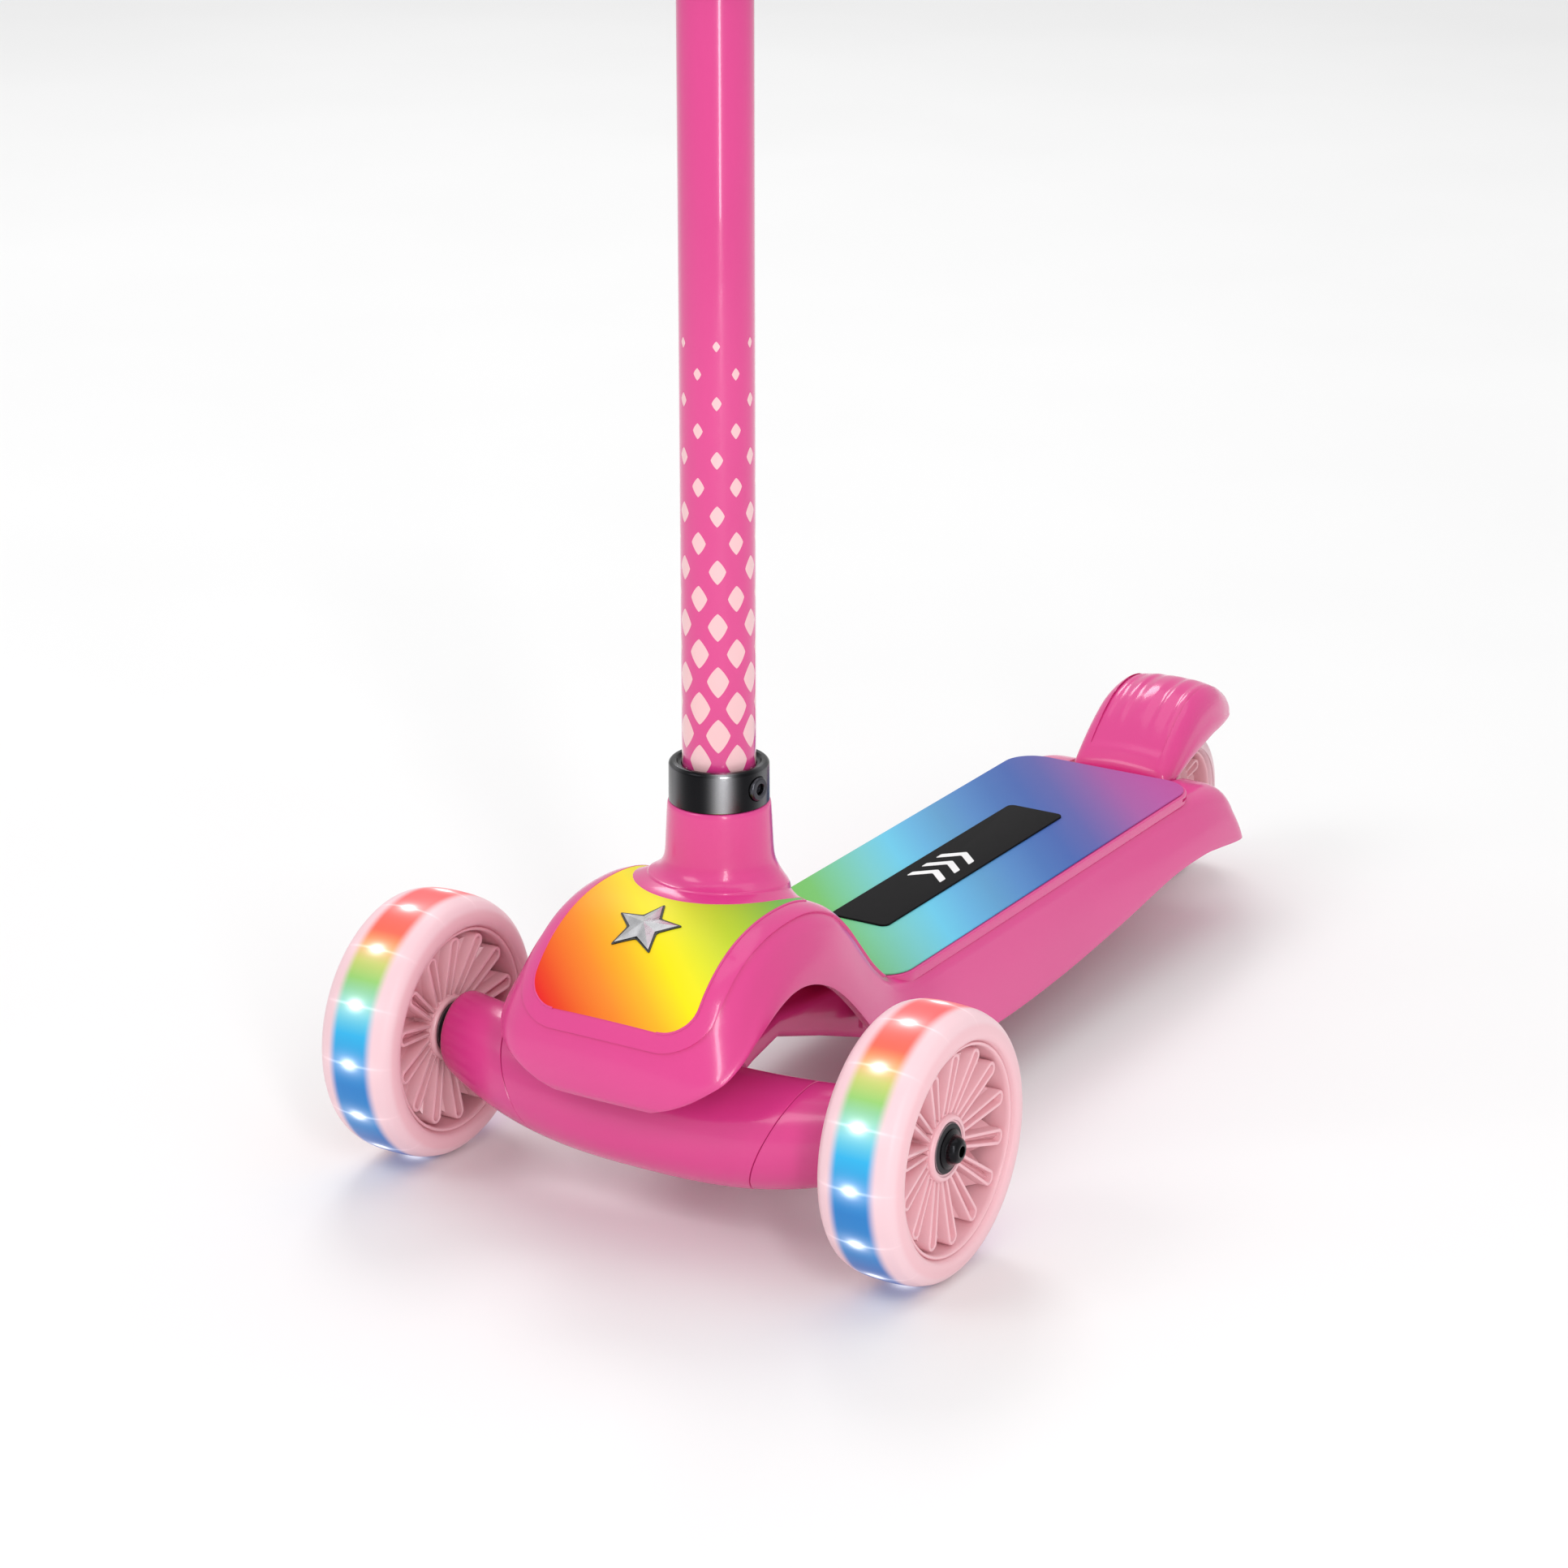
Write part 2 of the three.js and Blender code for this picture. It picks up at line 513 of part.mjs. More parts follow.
// Cam lever: two eyes round the barrel, and a blade that lies along the collar when shut.
function camLever() {
  const inner = COLLAR.radius + 1.2;
  const outer = inner + LEVER.thickness;
  const blade = [
    [leverX - 3, skewerY + 3], [leverX + 6, skewerY], [outer + 1, STEM.y + 12], [outer, STEM.y],
    [outer - 2, STEM.y - LEVER.reach], [inner - 1, STEM.y - LEVER.reach], [inner, STEM.y],
    [inner + 0.4, STEM.y + 5], [earHalf + 4, skewerY - 6],
  ];
  const [low, high] = [collarMiddle - LEVER.height / 2, collarMiddle + LEVER.height / 2];
  const eye = rodZ(LEVER.eye, low, high, leverX, skewerY);
  const fork = block(leverX - 16, leverX + 9, skewerY - 8.5, skewerY + 16,
    collarMiddle - LEVER.fork, collarMiddle + LEVER.fork);
  const barrel = rodZ(boreRadius(SKEWER.barrel, RUNNING, 16), 0, 900, leverX, skewerY);
  return cut(join(eye, planSlab(outline(blade), low, high)), fork, barrel);
}
add('collar_lever', camLever(), 'black');

// ---------------------------------------------------------------- handlebar

const upperTop = BAR.z - TEE.radius + 4;
add('upper_stem', tubeZ(UPPER.radius, UPPER.radius - UPPER.wall, UPPER.bottom, upperTop, STEM.y),
  'pink');

const plugRim = rodZ(bushOuter, UPPER.bottom - GAP - 4, UPPER.bottom - GAP, 0, STEM.y, 24);
const plugBody = rodZ((UPPER.radius - UPPER.wall) * Math.cos(Math.PI / 24) - GAP,
  UPPER.bottom - GAP - 1, UPPER.bottom + 14, 0, STEM.y, 24);
const plugHole = rodZ(8, 0, 900, 0, STEM.y, 12);
add('guide_plug', cut(join(plugRim, plugBody), plugHole), 'black');

const barBore = boreRadius(BAR.radius, GAP, 20);
const tee = cut(
  join(rodX(TEE.radius, -TEE.half, TEE.half, STEM.y, BAR.z, 20),
    rodZ(TEE.radius - 0.5, BAR.z - TEE.drop, BAR.z, 0, STEM.y, 20)),
  rodX(barBore, -60, 60, STEM.y, BAR.z, 20),
  rodZ(boreRadius(UPPER.radius, GAP, 24), 0, upperTop + GAP, 0, STEM.y, 24));
add('bar_tee', tee, 'pink');
add('crossbar', tubeX(BAR.radius, BAR.radius - BAR.wall, -BAR.half, BAR.half, STEM.y, BAR.z, 20),
  'pink');

for (const [side, word] of SIDES) {
  const gripStart = BAR.half - GRIP.length;
  const grip = cut(
    join(rodX(GRIP.radius, ...span(side, gripStart, BAR.half), STEM.y, BAR.z, 20),
      rodX(GRIP.flange, ...span(side, gripStart, gripStart + GRIP.flangeWidth), STEM.y, BAR.z, 20)),
    rodX(barBore, -900, 900, STEM.y, BAR.z, 20));
  add(`grip_${word}`, grip, 'rubber');
  const plugRadius = (BAR.radius - BAR.wall) * Math.cos(Math.PI / 20) - GAP;
  const cap = join(
    rodX(CAP.radius, ...span(side, BAR.half + GAP, BAR.half + GAP + CAP.thickness), STEM.y, BAR.z, 20),
    rodX(plugRadius, ...span(side, BAR.half - CAP.plug, BAR.half + 1), STEM.y, BAR.z, 20));
  add(`grip_cap_${word}`, cap, 'palePink');
}

// ---------------------------------------------------------------- front axle beam

// Share of the beam's bulge at a distance from the middle: 1 in the middle, 0 at the ends.
const bulge = (x) => 1 - Math.min(Math.abs(x) / BEAM.end, 1) ** BEAM.power;

function beamBar(x0, x1, steps, shrink = 0) {
  const profile = [new THREE.Vector2(0, x0)];
  for (let step = 0; step <= steps; step += 1) {
    const x = x0 + ((x1 - x0) * step) / steps;
    profile.push(new THREE.Vector2(BEAM.endRadius + BEAM.bulge * bulge(x) - shrink, x));
  }
  profile.push(new THREE.Vector2(0, x1));
  const geometry = new THREE.LatheGeometry(profile, 20).rotateZ(-Math.PI / 2);
  const { position } = geometry.attributes;
  for (let i = 0; i < position.count; i += 1) {
    const share = bulge(position.getX(i));
    position.setY(i, position.getY(i) - BEAM.advance * share);
    position.setZ(i, position.getZ(i) + FRONT_WHEEL.radius - BEAM.drop * share);
  }
  return toSolid(geometry);
}

const hubInner = TRACK / 2 - FRONT_WHEEL.hubWidth / 2;
const hubOuter = TRACK / 2 + FRONT_WHEEL.hubWidth / 2;
const boltBore = boreRadius(AXLE_RADIUS, GAP, 16);
const boltEnd = BEAM_SPLIT + 12;

const beamCentre = join(
  beamBar(-BEAM_SPLIT, BEAM_SPLIT, 14),
  pivotRod(PIVOT.boss, -PIVOT.bossHalf, PIVOT.bossHalf));
add('axle_beam', cut(beamCentre, pivotRod(boreRadius(KINGPIN_RADIUS, RUNNING, 16), -60, 60)),
  'pink');

const boltHead = { radius: 7, length: 6 };
for (const [side, word] of SIDES) {
  const arm = beamBar(...span(side, BEAM_SPLIT + GAP, BEAM.end), 6);
  const bore = rodX(boltBore, ...span(side, boltEnd - 2, BEAM.end + 5), 0, FRONT_WHEEL.radius);
  add(`beam_arm_${word}`, cut(arm, bore), 'pink');
  add(`magnet_spacer_${word}`, tubeX(MAGNET_SPACER_RADIUS, boltBore,
    ...span(side, BEAM.end + GAP, hubInner - GAP), 0, FRONT_WHEEL.radius), 'graphite');
  add(`axle_bolt_${word}`, boltX(AXLE_RADIUS, boltHead.radius, boltHead.length,
    side * (hubOuter + GAP + boltHead.length), side * boltEnd, 0, FRONT_WHEEL.radius), 'graphite');
}

add('kingpin', join(
  pivotRod(KINGPIN_RADIUS - 0.1, -earStart - LEAN_EAR - 1, 58),
  pivotRod(KINGPIN_HEAD.radius, -earStart - LEAN_EAR - KINGPIN_HEAD.height,
    -earStart - LEAN_EAR - GAP)), 'steel');
for (const [word, side] of [['lower', -1], ['upper', 1]]) {
  const [from, to] = span(side, bossLength, bossLength + PIVOT.bushing);
  add(`${word}_bushing`, cut(pivotRod(PIVOT.boss - 1.5, from, to),
    pivotRod(boreRadius(KINGPIN_RADIUS, GAP, 16), -60, 60)), 'urethane');
}

// ---------------------------------------------------------------- wheels

// A spoked wheel about the X axis, centred on the origin: a rim, a hub and leaning spokes.
function wheelCore(wheel, width) {
  const rimOuter = wheel.rim - GAP;
  const rim = turnedX([[rimOuter, -width / 2], [rimOuter, width / 2],
    [rimOuter - 3.4, width / 2], [rimOuter - 3.4, -width / 2]], wheel.sides);
  const hub = rodX(wheel.hub, -wheel.hubWidth / 2, wheel.hubWidth / 2, 0, 0, 16);
  const reach = rimOuter - 1.6 - (wheel.hub - 2);
  const spokeBox = new THREE.BoxGeometry(SPOKE.width * (wheel.width / FRONT_WHEEL.width),
    SPOKE.thickness, reach);
  const spokes = [];
  for (let i = 0; i < SPOKE.count; i += 1) {
    const spoke = spokeBox.clone().translate(0, 0, reach / 2).rotateX(SPOKE.lean)
      .translate(0, 0, wheel.hub - 2).rotateX((i * 2 * Math.PI) / SPOKE.count);
    spokes.push(toSolid(spoke));
  }
  const inside = rodX(rimOuter - 1.5, -40, 40, 0, 0, wheel.sides);
  const pockets = SIDES.map(([side]) => rodX(boreRadius(BEARING.outer, GAP, 16),
    ...span(side, wheel.hubWidth / 2 - BEARING.width, 60), 0, 0, 16));
  const web = join(hub, ...spokes).intersect(inside);
  return cut(join(rim, web), ...pockets, rodX(8, -60, 60, 0, 0));
}

function tyreRing(wheel, lightGroove) {
  const half = wheel.width / 2;
  const { radius, rim } = wheel;
  const deep = rim + lightGroove;
  const grooveHalf = LIGHT_RING.width / 2 + GAP;
  const profile = [
    [rim, -half], [radius - 6, -half], [radius - 1.2, -half + 5], [radius, -half + 11],
    [radius, half - 11], [radius - 1.2, half - 5], [radius - 6, half], [rim, half],
  ];
  if (lightGroove) {
    profile.push([rim, grooveHalf], [deep, grooveHalf], [deep, -grooveHalf], [rim, -grooveHalf]);
  }
  return turnedX(profile, wheel.sides);
}

function bearingRing(x0, x1) {
  return tubeX(BEARING.outer, boreRadius(AXLE_RADIUS, RUNNING, 16), x0, x1, 0, 0, 16);
}

function wheelGroup(x, y, radius) {
  const group = new THREE.Group();
  group.position.set(x, y, radius);
  scooter.add(group);
  return group;
}

const bearingFace = (wheel) => wheel.hubWidth / 2;

function addBearings(prefix, wheel, group, words) {
  const [inner, outer] = [bearingFace(wheel) - BEARING.width + GAP, bearingFace(wheel)];
  for (const [word, side] of words) {
    const [x0, x1] = span(side, inner, outer);
    add(`${prefix}_bearing_${word}`, bearingRing(x0, x1), 'steel', group);
  }
}

for (const [side, word] of SIDES) {
  const group = wheelGroup((side * TRACK) / 2, 0, FRONT_WHEEL.radius);
  const coreWidth = FRONT_WHEEL.width - 5;
  const ringDepth = LIGHT_RING.thickness;
  const ringHalf = LIGHT_RING.width / 2;
  add(`front_tyre_${word}`, tyreRing(FRONT_WHEEL, ringDepth + 2 * GAP), 'palePink', group);
  add(`front_core_${word}`, wheelCore(FRONT_WHEEL, coreWidth), 'palePink', group);
  add(`light_ring_${word}`, turnedX([
    [FRONT_WHEEL.rim + ringDepth, -ringHalf], [FRONT_WHEEL.rim + ringDepth, ringHalf],
    [FRONT_WHEEL.rim, ringHalf], [FRONT_WHEEL.rim, -ringHalf],
  ], FRONT_WHEEL.sides), 'light', group);
  addBearings(`front_${word}`, FRONT_WHEEL, group, [['inner', -side], ['outer', side]]);
}

const rearGroup = wheelGroup(0, WHEELBASE, REAR_WHEEL.radius);
add('rear_tyre', tyreRing(REAR_WHEEL, 0), 'palePink', rearGroup);
add('rear_core', wheelCore(REAR_WHEEL, REAR_WHEEL.width - 3), 'palePink', rearGroup);
addBearings('rear', REAR_WHEEL, rearGroup, [['left', -1], ['right', 1]]);

// Rear axle: a bolt across the fork, a nut, and a spacer each side of the wheel.
const rearBolt = boltX(AXLE_RADIUS, 6.5, 4.5, FORK.outer + GAP + 4.5, -FORK.outer - 7,
  WHEELBASE, REAR_WHEEL.radius);
add('rear_axle', rearBolt, 'steel');
add('rear_axle_nut', tubeX(6.8, boreRadius(AXLE_RADIUS, GAP, 6), -FORK.outer - GAP - 5,
  -FORK.outer - GAP, WHEELBASE, REAR_WHEEL.radius, 6), 'steel');
for (const [side, word] of SIDES) {
  const [x0, x1] = span(side, bearingFace(REAR_WHEEL) + GAP, FORK.inner - GAP);
  add(`rear_spacer_${word}`, tubeX(6.5, boltBore, x0, x1, WHEELBASE, REAR_WHEEL.radius), 'steel');
}

// ---------------------------------------------------------------- brake pedal

// Side view of the pedal, which is also the rear mudguard.
const PEDAL_TOP = [
  [PEDAL.front, 76], [438, 89], [450, 100], [463, 107], [479, 110], [492, 107.6],
  [505, 100], [516, 91], [524, 83],
];
const PEDAL_HEM = [[519, 82], [500, 89], [478, 84], [443, 73.5], [431, 73]];

// The space round the rear wheel, out to a radius.
function aroundRearWheel(radius, half) {
  return rodX(radius, -half, half, WHEELBASE, REAR_WHEEL.radius, 40);
}

function padBand(inner, outer) {
  const band = aroundRearWheel(outer, PAD.half).subtract(aroundRearWheel(inner, 60));
  const points = [[WHEELBASE, REAR_WHEEL.radius]];
  for (const angle of [PAD.from, PAD.to]) {
    const turn = THREE.MathUtils.degToRad(angle);
    points.push([WHEELBASE + 90 * Math.cos(turn), REAR_WHEEL.radius + 90 * Math.sin(turn)]);
  }
  return band.intersect(sideSlab(points, -60, 60));
}

const padInner = REAR_WHEEL.radius + PAD.gap;
const padOuter = padInner + PAD.thickness;

function brakePedal() {
  const outer = sideSlab([...PEDAL_TOP, ...PEDAL_HEM], -PEDAL.half, PEDAL.half);
  const roof = moved(PEDAL_TOP, -PEDAL.wall);
  const innerFront = PEDAL.front + 4;
  const inside = sideSlab([[innerFront, 60], [innerFront, 75], ...roof.slice(1, -1), [520, 60]],
    -PEDAL.half + PEDAL.wall, PEDAL.half - PEDAL.wall);
  const rib = cut(
    block(-8, 8, 466, 498, 60, 117).intersect(outer),
    aroundRearWheel(padOuter + GAP, 60));
  const webSide = [[PEDAL.pinY - 6, PEDAL.pinZ - 4], [PEDAL.pinY + 6, PEDAL.pinZ - 4],
    [PEDAL.pinY + 12, 95], [PEDAL.pinY - 2, 82], [PEDAL.pinY - 6, 76]];
  const webs = SIDES.map(([side]) => {
    const [x0, x1] = span(side, PEDAL_WEB.inner, PEDAL_WEB.outer);
    return join(sideSlab(webSide, x0, x1), rodX(6, x0, x1, PEDAL.pinY, PEDAL.pinZ));
  });
  const pin = rodX(boreRadius(PEDAL.pinRadius, RUNNING, 16), -60, 60, PEDAL.pinY, PEDAL.pinZ);
  return cut(join(cut(outer, inside), rib, ...webs), pin);
}

add('brake_pedal', brakePedal(), 'pink');
add('brake_pad', padBand(padInner, padOuter), 'rubber');
const pinReach = PEDAL_WEB.outer + 1;
add('brake_pin', rodX(PEDAL.pinRadius, -pinReach, pinReach, PEDAL.pinY, PEDAL.pinZ), 'steel');

// Torsion spring: a few turns of wire round the pin, between the lugs.
const SPRING = { turns: 3, radius: 5.2, wire: 0.9, pitch: 3.4, steps: 24 };
const springTurns = [];
for (let step = 0; step <= SPRING.steps; step += 1) {
  const turn = (step / SPRING.steps) * SPRING.turns;
  const angle = turn * 2 * Math.PI;
  springTurns.push(new THREE.Vector3((turn - SPRING.turns / 2) * SPRING.pitch,
    SPRING.radius * Math.cos(angle), SPRING.radius * Math.sin(angle)));
}
const wireShape = new THREE.Shape().absarc(0, 0, SPRING.wire, 0, 2 * Math.PI);
const coil = new THREE.ExtrudeGeometry(wireShape, {
  steps: SPRING.steps, curveSegments: 3, extrudePath: new THREE.CatmullRomCurve3(springTurns),
});
const spring = add('brake_spring', toSolid(coil), 'steel');
spring.position.set(0, PEDAL.pinY, PEDAL.pinZ);

// ---------------------------------------------------------------- centre the scooter

const box = new THREE.Box3().setFromObject(scooter);
scooter.position.y = -(box.min.y + box.max.y) / 2;

export default scooter;
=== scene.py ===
"""The looks of a child's three-wheeled kick scooter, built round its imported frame.

Shapes are worked out in millimetres, with X across the scooter, Y measured back from the
front axle and Z up from the floor. place() turns such a point into the frame's metres.
"""
import json
import math

import bmesh
import bpy
from bpy.props import FloatProperty, FloatVectorProperty, IntProperty, PointerProperty
from mathutils import Matrix, Vector


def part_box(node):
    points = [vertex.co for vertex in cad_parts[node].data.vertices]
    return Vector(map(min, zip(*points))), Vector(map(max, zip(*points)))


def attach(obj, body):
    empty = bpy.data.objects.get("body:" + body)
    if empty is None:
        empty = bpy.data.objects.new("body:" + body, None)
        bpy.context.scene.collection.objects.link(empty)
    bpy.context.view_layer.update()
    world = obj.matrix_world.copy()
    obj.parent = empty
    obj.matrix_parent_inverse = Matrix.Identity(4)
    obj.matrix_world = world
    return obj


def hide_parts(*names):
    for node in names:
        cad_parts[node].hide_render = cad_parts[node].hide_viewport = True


bl_info = {
    "name": "Kick scooter",
    "version": (1, 0, 0),
    "blender": (4, 5, 0),
    "location": "View3D > Sidebar > Scooter",
    "description": "Builds the visible pieces of a child's kick scooter round its frame",
    "category": "Add Mesh",
}

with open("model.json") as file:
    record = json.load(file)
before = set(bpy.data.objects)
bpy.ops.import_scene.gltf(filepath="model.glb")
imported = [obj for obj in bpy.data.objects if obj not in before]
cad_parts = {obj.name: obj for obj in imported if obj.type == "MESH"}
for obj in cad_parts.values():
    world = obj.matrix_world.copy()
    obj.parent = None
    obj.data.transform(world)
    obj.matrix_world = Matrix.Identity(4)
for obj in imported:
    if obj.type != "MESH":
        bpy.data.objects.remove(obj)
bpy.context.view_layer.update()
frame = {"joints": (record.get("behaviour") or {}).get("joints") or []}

MM = 0.001
ACROSS = (1, 0, 0)
UP = (0, 0, 1)
SIDES = ((-1, "left"), (1, "right"))


def node_box(node):
    """The lowest and highest corners of a CAD node, in millimetres of the frame."""
    low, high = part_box(node)
    return low / MM, high / MM


def node_middle(node):
    low, high = node_box(node)
    return (low + high) / 2


AXLE_Y = node_middle("front_core_left").y


def place(x, y, z):
    """A point measured from the front axle, in the frame's metres."""
    return Vector((x, y + AXLE_Y, z)) * MM


def sideways(u, v, height):
    """The same for an outline in Y and Z, whose height runs along X."""
    return place(height, u, v)


def local_box(node):
    """A CAD node's box in this script's millimetres."""
    low, high = node_box(node)
    return low - Vector((0, AXLE_Y, 0)), high - Vector((0, AXLE_Y, 0))


def local_middle(node):
    low, high = local_box(node)
    return (low + high) / 2


# ------------------------------------------------------------------ sizes and colours

def colour(red, green, blue):
    """A screen colour, 0 to 255, as the linear colour that shaders use."""
    def linear(value):
        value /= 255
        return value / 12.92 if value <= 0.04045 else ((value + 0.055) / 1.055) ** 2.4
    return (linear(red), linear(green), linear(blue), 1.0)


def length(name, description, default):
    return FloatProperty(name=name, description=description, default=default * MM,
                         min=0.0, unit="LENGTH", subtype="DISTANCE", precision=4)


def paint(name, description, default):
    return FloatVectorProperty(name=name, description=description, default=default,
                               size=4, min=0.0, max=1.0, subtype="COLOR")


class ScooterSizes(bpy.types.PropertyGroup):
    """Sizes of the detail that the looks add to the frame."""
    wall: length("Body wall", "Thickness of the moulded body", 4.0)
    cover_lift: length("Cover lift", "How far the nose cover stands proud of the body", 1.1)
    cover_wrap: length("Cover wrap", "How far the nose cover reaches past the printed sheet", 8.5)
    plateau: length("Plateau height", "Height of the raised bed of the grip sheet", 3.4)
    flute_depth: length("Flute depth", "Depth of the grooves on the brake pedal", 1.3)
    recess_depth: length("Recess depth", "Depth of the pedal's sunken tread", 2.4)
    spoke_count: IntProperty(name="Spokes", description="Spokes in each front wheel",
                             default=14, min=6, max=40)
    rear_spoke_count: IntProperty(name="Rear spokes", description="Spokes in the rear wheel",
                                  default=8, min=5, max=30)
    light_count: IntProperty(name="Lights", description="Lights round each front wheel",
                             default=14, min=4, max=40)
    diamond_columns: IntProperty(name="Diamond columns",
                                 description="Columns of diamonds round the stem",
                                 default=12, min=4, max=30)
    grip_rings: IntProperty(name="Grip rings", description="Raised rings on each grip",
                            default=15, min=2, max=40)


class ScooterColours(bpy.types.PropertyGroup):
    """Colours of the finishes."""
    pink: paint("Pink", "Moulded body and stem", colour(221, 61, 140))
    pale_pink: paint("Pale pink", "Tyres", colour(244, 206, 213))
    core_pink: paint("Core pink", "Spoked cores of the wheels", colour(240, 188, 196))
    diamond: paint("Diamonds", "Diamonds printed on the stem", colour(244, 196, 200))
    black: paint("Black", "Black plastic and rubber", colour(20, 19, 21))
    grip: paint("Grip", "Handlebar grips", colour(52, 50, 56))
    graphite: paint("Graphite", "Black chrome of the clamp ring", colour(30, 30, 33))
    steel: paint("Steel", "Zinc-plated bolts, bearings and pins", colour(176, 178, 182))
    urethane: paint("Urethane", "Bushings of the steering pivot", colour(226, 214, 190))


# ------------------------------------------------------------------ outlines and curves

def smooth_rows(rows, steps):
    """Rows on a smooth curve through the given rows of numbers (Catmull-Rom)."""
    result = []
    last = len(rows) - 1
    for i in range(last):
        a, b, c, d = rows[max(i - 1, 0)], rows[i], rows[i + 1], rows[min(i + 2, last)]
        for step in range(steps):
            t = step / steps
            result.append(tuple(
                0.5 * (2 * q + (r - p) * t + (2 * p - 5 * q + 4 * r - s) * t * t
                       + (3 * q - p - 3 * r + s) * t ** 3)
                for p, q, r, s in zip(a, b, c, d)))
    result.append(tuple(rows[-1]))
    return result


def bend(start, corner, end, steps):
    """Points on the curve from start to end that is pulled towards the corner."""
    points = []
    for step in range(steps + 1):
        t = step / steps
        points.append(tuple((1 - t) ** 2 * a + 2 * t * (1 - t) * b + t * t * c
                            for a, b, c in zip(start, corner, end)))
    return points


def filleted(points, radius, steps=5, closed=True):
    """A flat outline with each corner rounded to about the radius."""
    result = []
    count = len(points)
    for i, corner in enumerate(points):
        if not closed and i in (0, count - 1):
            result.append(tuple(corner))
            continue
        before, after = Vector(points[i - 1]), Vector(points[(i + 1) % count])
        here = Vector(corner)
        size = radius[i] if isinstance(radius, (list, tuple)) else radius
        reach = min(size, 0.48 * (before - here).length, 0.48 * (after - here).length)
        if reach < 0.01:
            result.append(tuple(corner))
            continue
        start = here + (before - here).normalized() * reach
        end = here + (after - here).normalized() * reach
        result.extend(bend(start, here, end, steps))
    return result


def rounded_rectangle(half, front, rear, corner, steps=8):
    points = [(-half, front), (half, front), (half, rear), (-half, rear)]
    result = []
    for i, (x, y) in enumerate(points):
        inward = Vector((-math.copysign(corner, x), corner if i < 2 else -corner))
        centre = Vector((x, y)) + inward
        first = (math.pi, 1.5 * math.pi, 0.0, 0.5 * math.pi)[i]
        for step in range(steps + 1):
            angle = first + 0.5 * math.pi * step / steps
            result.append((centre.x + corner * math.cos(angle),
                           centre.y + corner * math.sin(angle)))
    return result


def grown(outline, distance):
    """A closed outline, drawn anticlockwise, moved outwards by a distance."""
    count = len(outline)
    result = []
    for i, point in enumerate(outline):
        along = Vector(outline[(i + 1) % count]) - Vector(outline[i - 1])
        along.normalize()
        result.append((point[0] + distance * along.y, point[1] - distance * along.x))
    return result


def smoothstep(low, high, value):
    t = min(max((value - low) / (high - low), 0.0), 1.0)
    return t * t * (3 - 2 * t)


# ------------------------------------------------------------------ meshes

SMOOTH_ANGLE = math.radians(38)


def smoothed(piece, sharp=SMOOTH_ANGLE):
    piece.data.shade_smooth()
    piece.data.set_sharp_from_angle(angle=sharp)
    return piece


def new_piece(name, bm, material, sharp=SMOOTH_ANGLE):
    """A closed mesh object from a bmesh, with its faces turned outwards."""
    bmesh.ops.remove_doubles(bm, verts=bm.verts, dist=1e-6)
    bmesh.ops.dissolve_degenerate(bm, edges=bm.edges, dist=1e-7)
    bmesh.ops.recalc_face_normals(bm, faces=bm.faces)
    mesh = bpy.data.meshes.new(name)
    bm.to_mesh(mesh)
    bm.free()
    piece = smoothed(bpy.data.objects.new(name, mesh), sharp)
    bpy.context.scene.collection.objects.link(piece)
    mesh.materials.append(material)
    return piece


def add_loft(bm, rings, ring_closed=True, loop=False, caps=True, put=place):
    """Joins rings of points, in millimetres, into one surface."""
    rows = [[bm.verts.new(put(*point)) for point in ring] for ring in rings]
    count = len(rings[0])
    following = rows[1:] + rows[:1] if loop else rows[1:]
    for first, second in zip(rows, following):
        for i in range(count if ring_closed else count - 1):
            j = (i + 1) % count
            bm.faces.new((first[i], first[j], second[j], second[i]))
    if caps and not loop:
        bm.faces.new(rows[0])
        bm.faces.new(rows[-1])
    return rows


def loft(name, rings, material, **options):
    bm = bmesh.new()
    add_loft(bm, rings, **options)
    return new_piece(name, bm, material)


def axis_frame(direction):
    """Two directions at right angles to a third."""
    along = Vector(direction).normalized()
    across = along.orthogonal().normalized()
    if abs(along.x) > 0.9:
        across = Vector((0, 0, 1))
    return across, along.cross(across), along


def add_turned(bm, profile, centre, axis, steps=64, closed=False):
    """Turns a profile of (radius, distance along the axis) points about an axis."""
    across, other, along = axis_frame(axis)
    rings = []
    for step in range(steps):
        angle = 2 * math.pi * step / steps
        outward = across * math.cos(angle) + other * math.sin(angle)
        rings.append([tuple(Vector(centre) + outward * r + along * h) for r, h in profile])
    add_loft(bm, rings, ring_closed=closed, loop=True)


def turned(name, profile, centre, axis, material, steps=64, closed=False):
    bm = bmesh.new()
    add_turned(bm, profile, centre, axis, steps, closed)
    return new_piece(name, bm, material)


def add_plate(bm, outline, low, high, edge, put):
    """A flat plate with softened edges. put() takes the outline's two numbers and a height."""
    steps = 3
    rings = []
    for height, sign in ((low, 1), (high, -1)):
        arc = [math.pi / 2 * step / steps for step in range(steps + 1)]
        if sign < 0:
            arc.reverse()
        for angle in arc:
            inset = edge * (1 - math.sin(angle))
            lift = edge * (1 - math.cos(angle))
            rings.append([(u, v, height + sign * lift) for u, v in grown(outline, -inset)])
    add_loft(bm, rings, put=put)


def plate(name, outline, low, high, edge, material, put=place):
    bm = bmesh.new()
    add_plate(bm, outline, low, high, edge, put)
    return new_piece(name, bm, material)


def add_box(bm, low, high, edge):
    """A box with softened edges, between two corners."""
    (x0, y0, z0), (x1, y1, z1) = low, high
    outline = rounded_rectangle((x1 - x0) / 2, y0, y1, max(edge, 0.2), 3)
    middle = (x0 + x1) / 2
    add_plate(bm, outline, z0, z1, edge, lambda u, v, h: place(u + middle, v, h))


